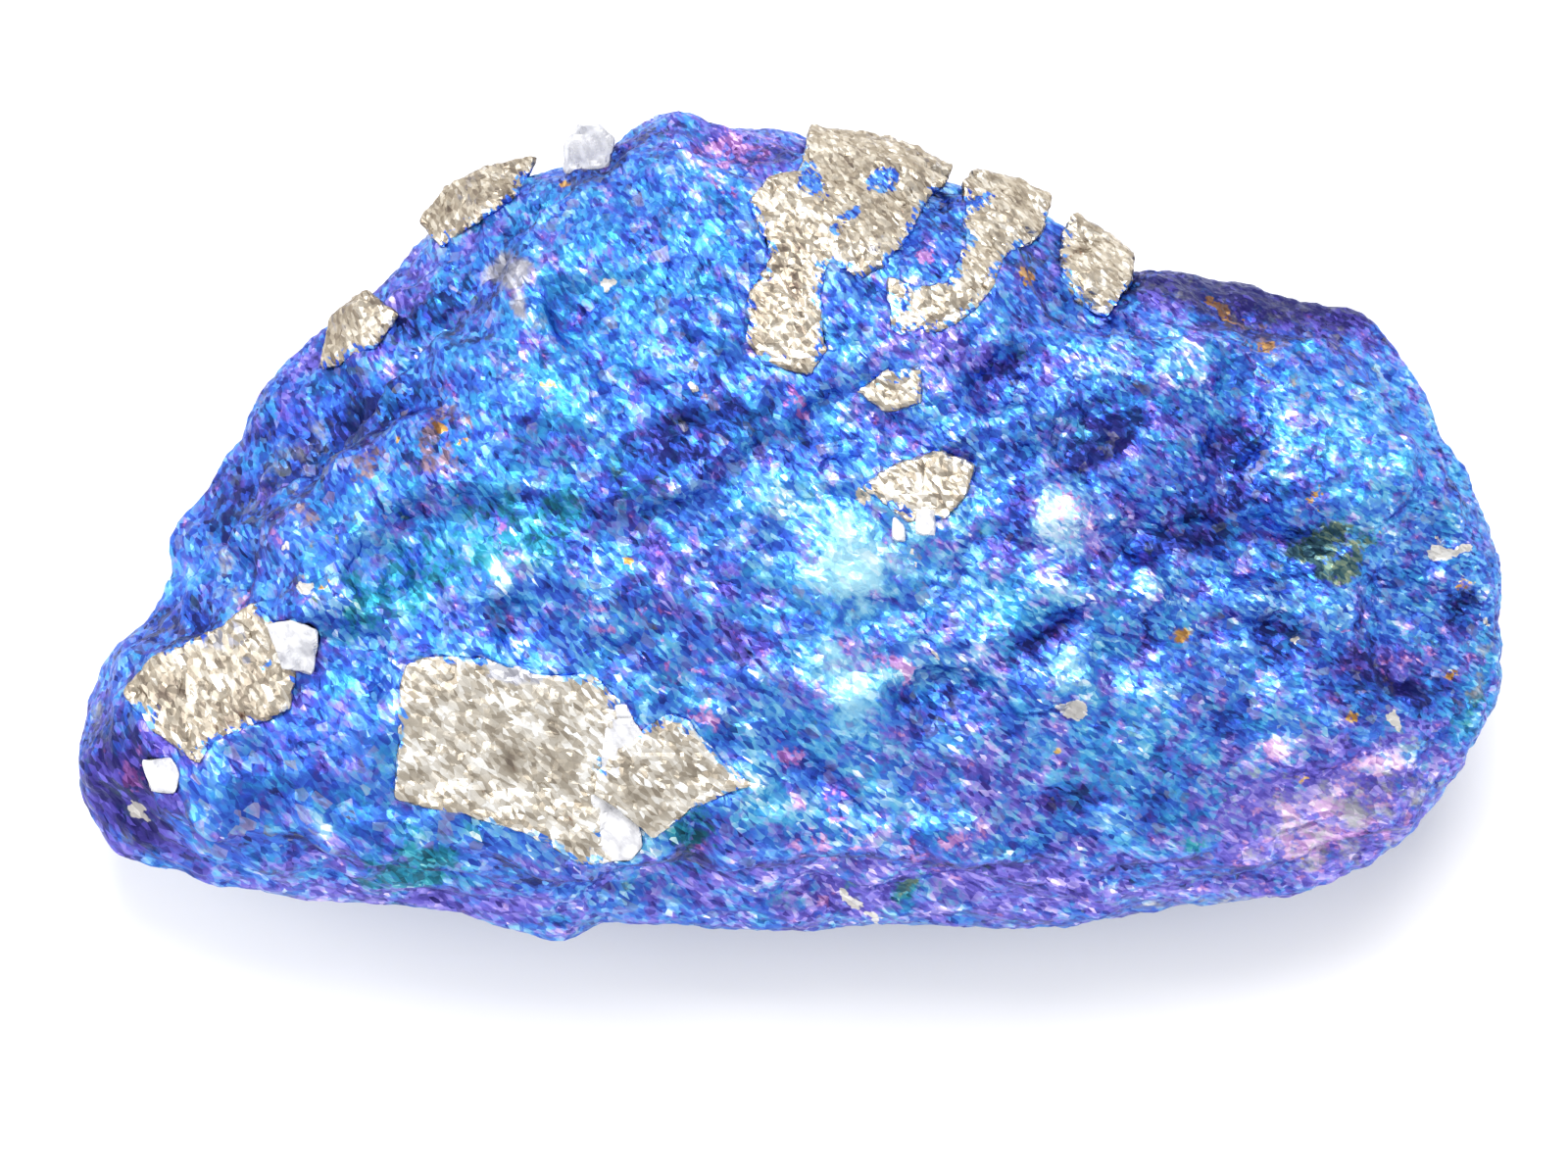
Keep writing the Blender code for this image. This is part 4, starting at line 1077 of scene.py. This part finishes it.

# %% [markdown]
# ## Marks on the pyrite
#
# Pyrite doesn't tarnish as the ore does, but it isn't clean either. Blue ore reaches into the
# far patches in small inlets, a few spots have rusted brown, a grey film lies along some
# edges, and two places are worn to a smooth tan. They are placed by ovals, as on the ore. Each
# crystal is also lighter or darker as a whole, which is partly its own colour and partly painted
# light and shade for how much light it catches where it lies.

# %% Inlets, spots, films and shades
BLUE_INLETS = [
    (0.45, 7.1, 0.5, 0.7, 30, 1.0), (1.9, 7.2, 0.8, 0.45, 0, 1.0), (1.2, 6.5, 0.3, 0.2, 0, 0.8),
    (1.0, 6.2, 0.5, 0.2, 30, 0.7), (2.6, 6.0, 0.4, 0.3, 30, 0.8), (3.2, 6.6, 0.4, 0.7, 0, 0.9),
    (3.4, 5.5, 0.5, 0.3, 30, 0.8), (-11.0, -3.0, 0.5, 0.15, 20, 0.9), (4.1, 6.8, 0.3, 0.2, 0, 0.7),
    (2.4, 4.6, 0.3, 0.3, 20, 0.6), (-13.5, -3.9, 0.6, 0.2, 0, 0.5),
]
BROWN_SPOTS = [
    (-4.68, -6.25, 0.4, 0.25, -30, 0.7), (-5.8, -4.93, 0.2, 0.8, 10, 0.5),
    (-3.05, -5.65, 0.5, 0.5, 0, 0.30), (-2.85, -6.15, 0.5, 0.3, 20, 0.35),
    (-11.7, -4.1, 0.8, 0.3, 30, 0.6), (-6.4, -5.6, 0.3, 0.2, 0, 0.5),
    (0.1, 5.0, 0.3, 0.3, 0, 0.5), (3.6, 7.0, 0.3, 0.3, 0, 0.6), (5.9, 5.6, 0.5, 0.2, 60, 0.6),
    (2.7, 5.3, 0.3, 0.3, 0, 0.6), (2.3, 6.6, 0.3, 0.2, 0, 0.5),
]
GREY_FILM = [
    (-5.75, -3.1, 1.4, 0.6, -12, 1.0), (-11.9, -2.4, 1.2, 0.5, 25, 0.7),
    (-11.45, -2.85, 0.4, 0.3, 0, 1.0), (-10.5, -3.9, 0.5, 0.5, 0, 0.5),
    (4.0, 7.6, 1.6, 0.3, -30, 0.6), (6.4, 6.5, 1.6, 0.4, -30, 0.8),
    (-9.6, 4.4, 2.0, 1.0, 38, 0.5), (-6.5, 7.2, 2.0, 1.0, 38, 0.5),
    (1.9, 5.9, 0.8, 0.2, 30, 0.6), (2.4, 7.9, 2.6, 0.35, -20, 0.5),
]
SMOOTH_TAN = [
    (-2.3, -5.0, 1.1, 1.0, -40, 0.9), (-13.2, -3.5, 1.1, 0.5, 20, 0.9),
    (-1.6, -5.1, 1.0, 0.3, -40, 0.5),
]
# Tone of each crystal as a whole: partly its own colour, partly painted light and shade for how much
# light it catches
CRYSTAL_LIGHT_AND_SHADE = {"pyrite_block": 0.10, "pyrite_wedge": 0.11, "pyrite_corner": -0.09, "pyrite_band": -0.09,
         "pyrite_hook": -0.05, "pyrite_chip": -0.02, "pyrite_centre": 0.0, "pyrite_speck": 0.0,
         "pyrite_rim_low": -0.20, "pyrite_rim_high": -0.20}
print("marks on the pyrite", len(BLUE_INLETS) + len(BROWN_SPOTS) + len(GREY_FILM) + len(SMOOTH_TAN))

# %% [markdown]
# ## The brassy finish
#
# Fresh pyrite is a pale brass, paler than gold, and every small grain reflects on its own. One
# brass colour with a bump would look like cast metal. So the grains have tones of their own,
# as in the ore, on a ramp from brown brass to nearly white. The blue of the ore creeps over
# the rims of the crystals, which tears their outlines, and the marks are blended over it.

# %% Sugar grains in brass
SUGAR_GRAIN = (0.19, 0.075, 0.20)
SUGAR_LUMP = (0.29, 0.24, 0.30)
SUGAR_BLOTCH = (0.70, 0.65, 0.80)
PYRITE_START = -0.11
SUGAR_TONE = 0.50
LUMP_TONE = 0.24
SUGAR_BLOTCH_TONE = 0.60
TAN_TONE = -0.16
BROWN_TONE = -0.45
MARK_PULL = 0.80
RIM_PULL = 0.62
INLET_CHANCES = (0.45, 0.25)
INLET_EDGE = (0.80, 0.90)
BROWN_CHANCE = 0.45
BROWN_EDGE = (0.62, 0.90)
RUST_BROWN = ((0.0, (0.05, 0.02, 0.012)), (0.6, (0.25, 0.14, 0.09)))
FILM_CHANCE = 0.35
FILM_EDGE = (0.62, 0.85)
PYRITE_ROUGHNESS = 0.24
PYRITE_ROUGHNESS_SPREAD = 0.22
PYRITE_EDGE_TINT = (0.62, 0.58, 0.52, 1.0)


def pyrite_finish():
    material, tree, shader = new_material("pyrite")
    cell = grain_cells(tree, *SUGAR_GRAIN).outputs["Color"]
    odd = parts_of(tree, cell)
    lump = parts_of(tree, grain_cells(tree, *SUGAR_LUMP).outputs["Color"])
    blotch = grain_cells(tree, *SUGAR_BLOTCH, "ShaderNodeTexNoise", detail=1.0, roughness=0.7)
    tone = weighted(tree, PYRITE_START, (odd[0], SUGAR_TONE), (lump[0], LUMP_TONE),
                    (blotch.outputs["Fac"], SUGAR_BLOTCH_TONE),
                    # painted glints on a few grains
                    (over(tree, odd[2], PAINTED_GLINT_EDGE), PAINTED_GLINT_TONE),
                    # the crystal's tone as a whole, partly painted light and shade
                    (stored(tree, "crystal_light_and_shade"), 1.0), (stored(tree, "tan"), TAN_TONE),
                    (stored(tree, "brown"), BROWN_TONE))
    colour = ramp(tree, tone, *BRASSY)
    blue = weighted(tree, 0.0, (stored(tree, "inlet"), MARK_PULL), (stored(tree, "rim"), RIM_PULL),
                    (odd[1], INLET_CHANCES[0]), (lump[1], INLET_CHANCES[1]))
    colour = mixed(tree, rising(tree, blue, *INLET_EDGE), colour, ramp(tree, tone, *BLUE))
    rust = weighted(tree, 0.0, (stored(tree, "brown"), MARK_PULL), (odd[2], BROWN_CHANCE))
    colour = mixed(tree, rising(tree, rust, *BROWN_EDGE), colour, ramp(tree, tone, *RUST_BROWN))
    film = weighted(tree, 0.0, (stored(tree, "film"), MARK_PULL), (odd[1], FILM_CHANCE))
    colour = mixed(tree, rising(tree, film, *FILM_EDGE), colour, ramp(tree, tone, *ASH))
    feed(tree, shader.inputs["Base Color"], colour)
    roughness = weighted(tree, PYRITE_ROUGHNESS, (odd[2], PYRITE_ROUGHNESS_SPREAD))
    feed(tree, shader.inputs["Roughness"], roughness)
    shader.inputs["Metallic"].default_value = METALLIC
    shader.inputs["Specular Tint"].default_value = PYRITE_EDGE_TINT
    feed(tree, shader.inputs["Normal"], facet_normal(tree, cell, GRAIN_LEAN))
    return material


pyrite = pyrite_finish()
print("pyrite from", len(pyrite.node_tree.nodes), "nodes")

# %% [markdown]
# ## Setting the pyrite in the ore
#
# A straight rim all round would look like a tile. The distance of each point of a crystal
# from the ore's skin says where its rim is, and the finish lets the blue creep in there. Every
# crystal is made by the same loop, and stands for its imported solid.

# %% Ten pyrite crystals
PYRITE_SHARE = 0.45
RIM_WIDTH = 0.34


def near_the_edge(points, ore_skin):
    """1 where a crystal meets the ore and 0 from RIM_WIDTH inwards."""
    away = [ore_skin.find_nearest(Vector(place) * MM, RIM_WIDTH * MM)[3] for place in points]
    return np.array([0.0 if far is None else 1.0 - far / (RIM_WIDTH * MM) for far in away])


ore_corners = [corner.co.copy() for corner in ore.data.vertices]
ore_skin = BVHTree.FromPolygons(ore_corners, [tuple(face.vertices) for face in ore.data.polygons])
for source in sorted(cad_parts):
    if not source.startswith("pyrite"):
        continue
    crystal = crystal_skin(source, source + "_crystal", PYRITE_VOXEL, POCKET_GAP + OVERLAP,
                           PYRITE_SUNK, sugar)
    reduced(crystal, PYRITE_SHARE * triangle_count(crystal))
    crystal_points = places(crystal.data)
    for name, marks in (("inlet", BLUE_INLETS), ("brown", BROWN_SPOTS), ("film", GREY_FILM),
                        ("tan", SMOOTH_TAN)):
        keep_values(crystal.data, name, ovals(crystal_points, marks))
    # painted light and shade of each crystal as a whole, with its own colour
    keep_values(crystal.data, "crystal_light_and_shade", np.full(len(crystal_points), CRYSTAL_LIGHT_AND_SHADE[source]))
    keep_values(crystal.data, "rim", near_the_edge(crystal_points, ore_skin))
    crystal.data.materials.clear()
    crystal.data.materials.append(pyrite)
    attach(crystal, "root")
    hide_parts(source)
    check_against_packed(crystal, source)

# %% [markdown]
# ## Quartz
#
# Between the crystals sit grains of milky quartz, and one clearer grain stands out of the far
# edge. Quartz breaks like glass, in smooth curved faces, so it gets little relief. Plain white
# would look like paint. Real quartz lets light a short way in, which plain transmission and
# scattering under the skin give.

# %% Milky and clearer quartz
CLOUD = (0.36, 0.20, 0.22)
MILK = ((0.30, (0.38, 0.38, 0.41)), (0.6, (0.68, 0.68, 0.69)))
QUARTZ_ROUGHNESS = 0.16
QUARTZ_ROUGHNESS_SPREAD = 0.25
QUARTZ_IOR = 1.54
SCATTERED = 0.25
SCATTER_DEPTH = 0.4
MILKY_CLEAR = 0.05
RIM_CLEAR = 0.40


def quartz_finish(name, clear):
    """Cloudy white quartz that lets a share of the light through."""
    material, tree, shader = new_material(name)
    cloud = grain_cells(tree, *CLOUD, "ShaderNodeTexNoise", detail=3.0).outputs["Fac"]
    feed(tree, shader.inputs["Base Color"], ramp(tree, cloud, *MILK))
    roughness = weighted(tree, QUARTZ_ROUGHNESS, (cloud, QUARTZ_ROUGHNESS_SPREAD))
    feed(tree, shader.inputs["Roughness"], roughness)
    shader.inputs["IOR"].default_value = QUARTZ_IOR
    shader.inputs["Transmission Weight"].default_value = clear
    shader.inputs["Subsurface Weight"].default_value = SCATTERED
    shader.inputs["Subsurface Radius"].default_value = (SCATTER_DEPTH * MM,) * 3
    return material


milky = quartz_finish("milky_quartz", MILKY_CLEAR)
clearer = quartz_finish("clear_quartz", RIM_CLEAR)
print("each quartz finish has", len(milky.node_tree.nodes), "nodes")

# %% Five quartz grains
QUARTZ_VOXEL = 0.06
QUARTZ_GROWTH = 0.23
QUARTZ_SUNK = 0.05
SHELL = (0.45, 0.35, 0.35)
SHELL_STEP = 0.01
SHELL_TILT = 0.07


def shell_break(points):
    return np.array([chip(place, SHELL, SHELL_STEP, SHELL_TILT) for place in in_grain_axes(points)])


for source in sorted(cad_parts):
    if not source.startswith("quartz"):
        continue
    grain = crystal_skin(source, source + "_grain", QUARTZ_VOXEL, QUARTZ_GROWTH, QUARTZ_SUNK, shell_break)
    grain.data.materials.clear()
    grain.data.materials.append(clearer if source == "quartz_rim" else milky)
    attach(grain, "root")
    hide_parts(source)
    check_against_packed(grain, source)

# %% [markdown]
# ## The smallest quartz grains
#
# Two white grains sit against the pyrite crystal near the middle. They are too small for the
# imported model. They could be painted on, but they stand up and catch the light, so each is a
# small broken lump of its own, let into the ore where a ray from above meets the skin.

# %% Two grains beside the middle crystal
# Each grain has a name, its x and y, and half of its size each way, in millimetres
SPECKS = (("quartz_speck_right", (2.82, 0.05), (0.22, 0.28, 0.22)),
          ("quartz_speck_left", (2.27, -0.05), (0.15, 0.30, 0.20)))
SPECK_SUNK = 0.10
SPECK_ROUGH = 0.22
SPECK_BLOCKY = 0.75
SPECK_CHIP = (0.8, 0.8, 0.8)
SPECK_STEP = 0.4
SPECK_TILT = 0.6
WELL_ABOVE = 20.0


def speck_mesh(name, size):
    """A small broken lump round the origin, from a ball with half the size each way."""
    shape = bmesh.new()
    bmesh.ops.create_icosphere(shape, subdivisions=3, radius=1.0)
    for point in shape.verts:
        blocky = max(abs(part) for part in point.co) ** -SPECK_BLOCKY
        broken = blocky + SPECK_ROUGH * chip(point.co, SPECK_CHIP, SPECK_STEP, SPECK_TILT)
        point.co = Vector([part * half * broken for part, half in zip(point.co, size)]) * MM
    mesh = bpy.data.meshes.new(name)
    shape.to_mesh(mesh)
    shape.free()
    return mesh


for name, spot, size in SPECKS:
    speck = bpy.data.objects.new(name, speck_mesh(name, size))
    bpy.context.scene.collection.objects.link(speck)
    found, ground, _, _ = ore.ray_cast(Vector((*spot, WELL_ABOVE)) * MM, Vector((0.0, 0.0, -1.0)))
    move_to(speck.data, places(speck.data) + np.array(ground) / MM - np.array([0.0, 0.0, SPECK_SUNK]))
    speck.data.shade_flat()
    speck.data.materials.append(milky)
    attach(speck, "root")
    print(name, "sits at", [round(float(value) / MM, 2) for value in ground], found)
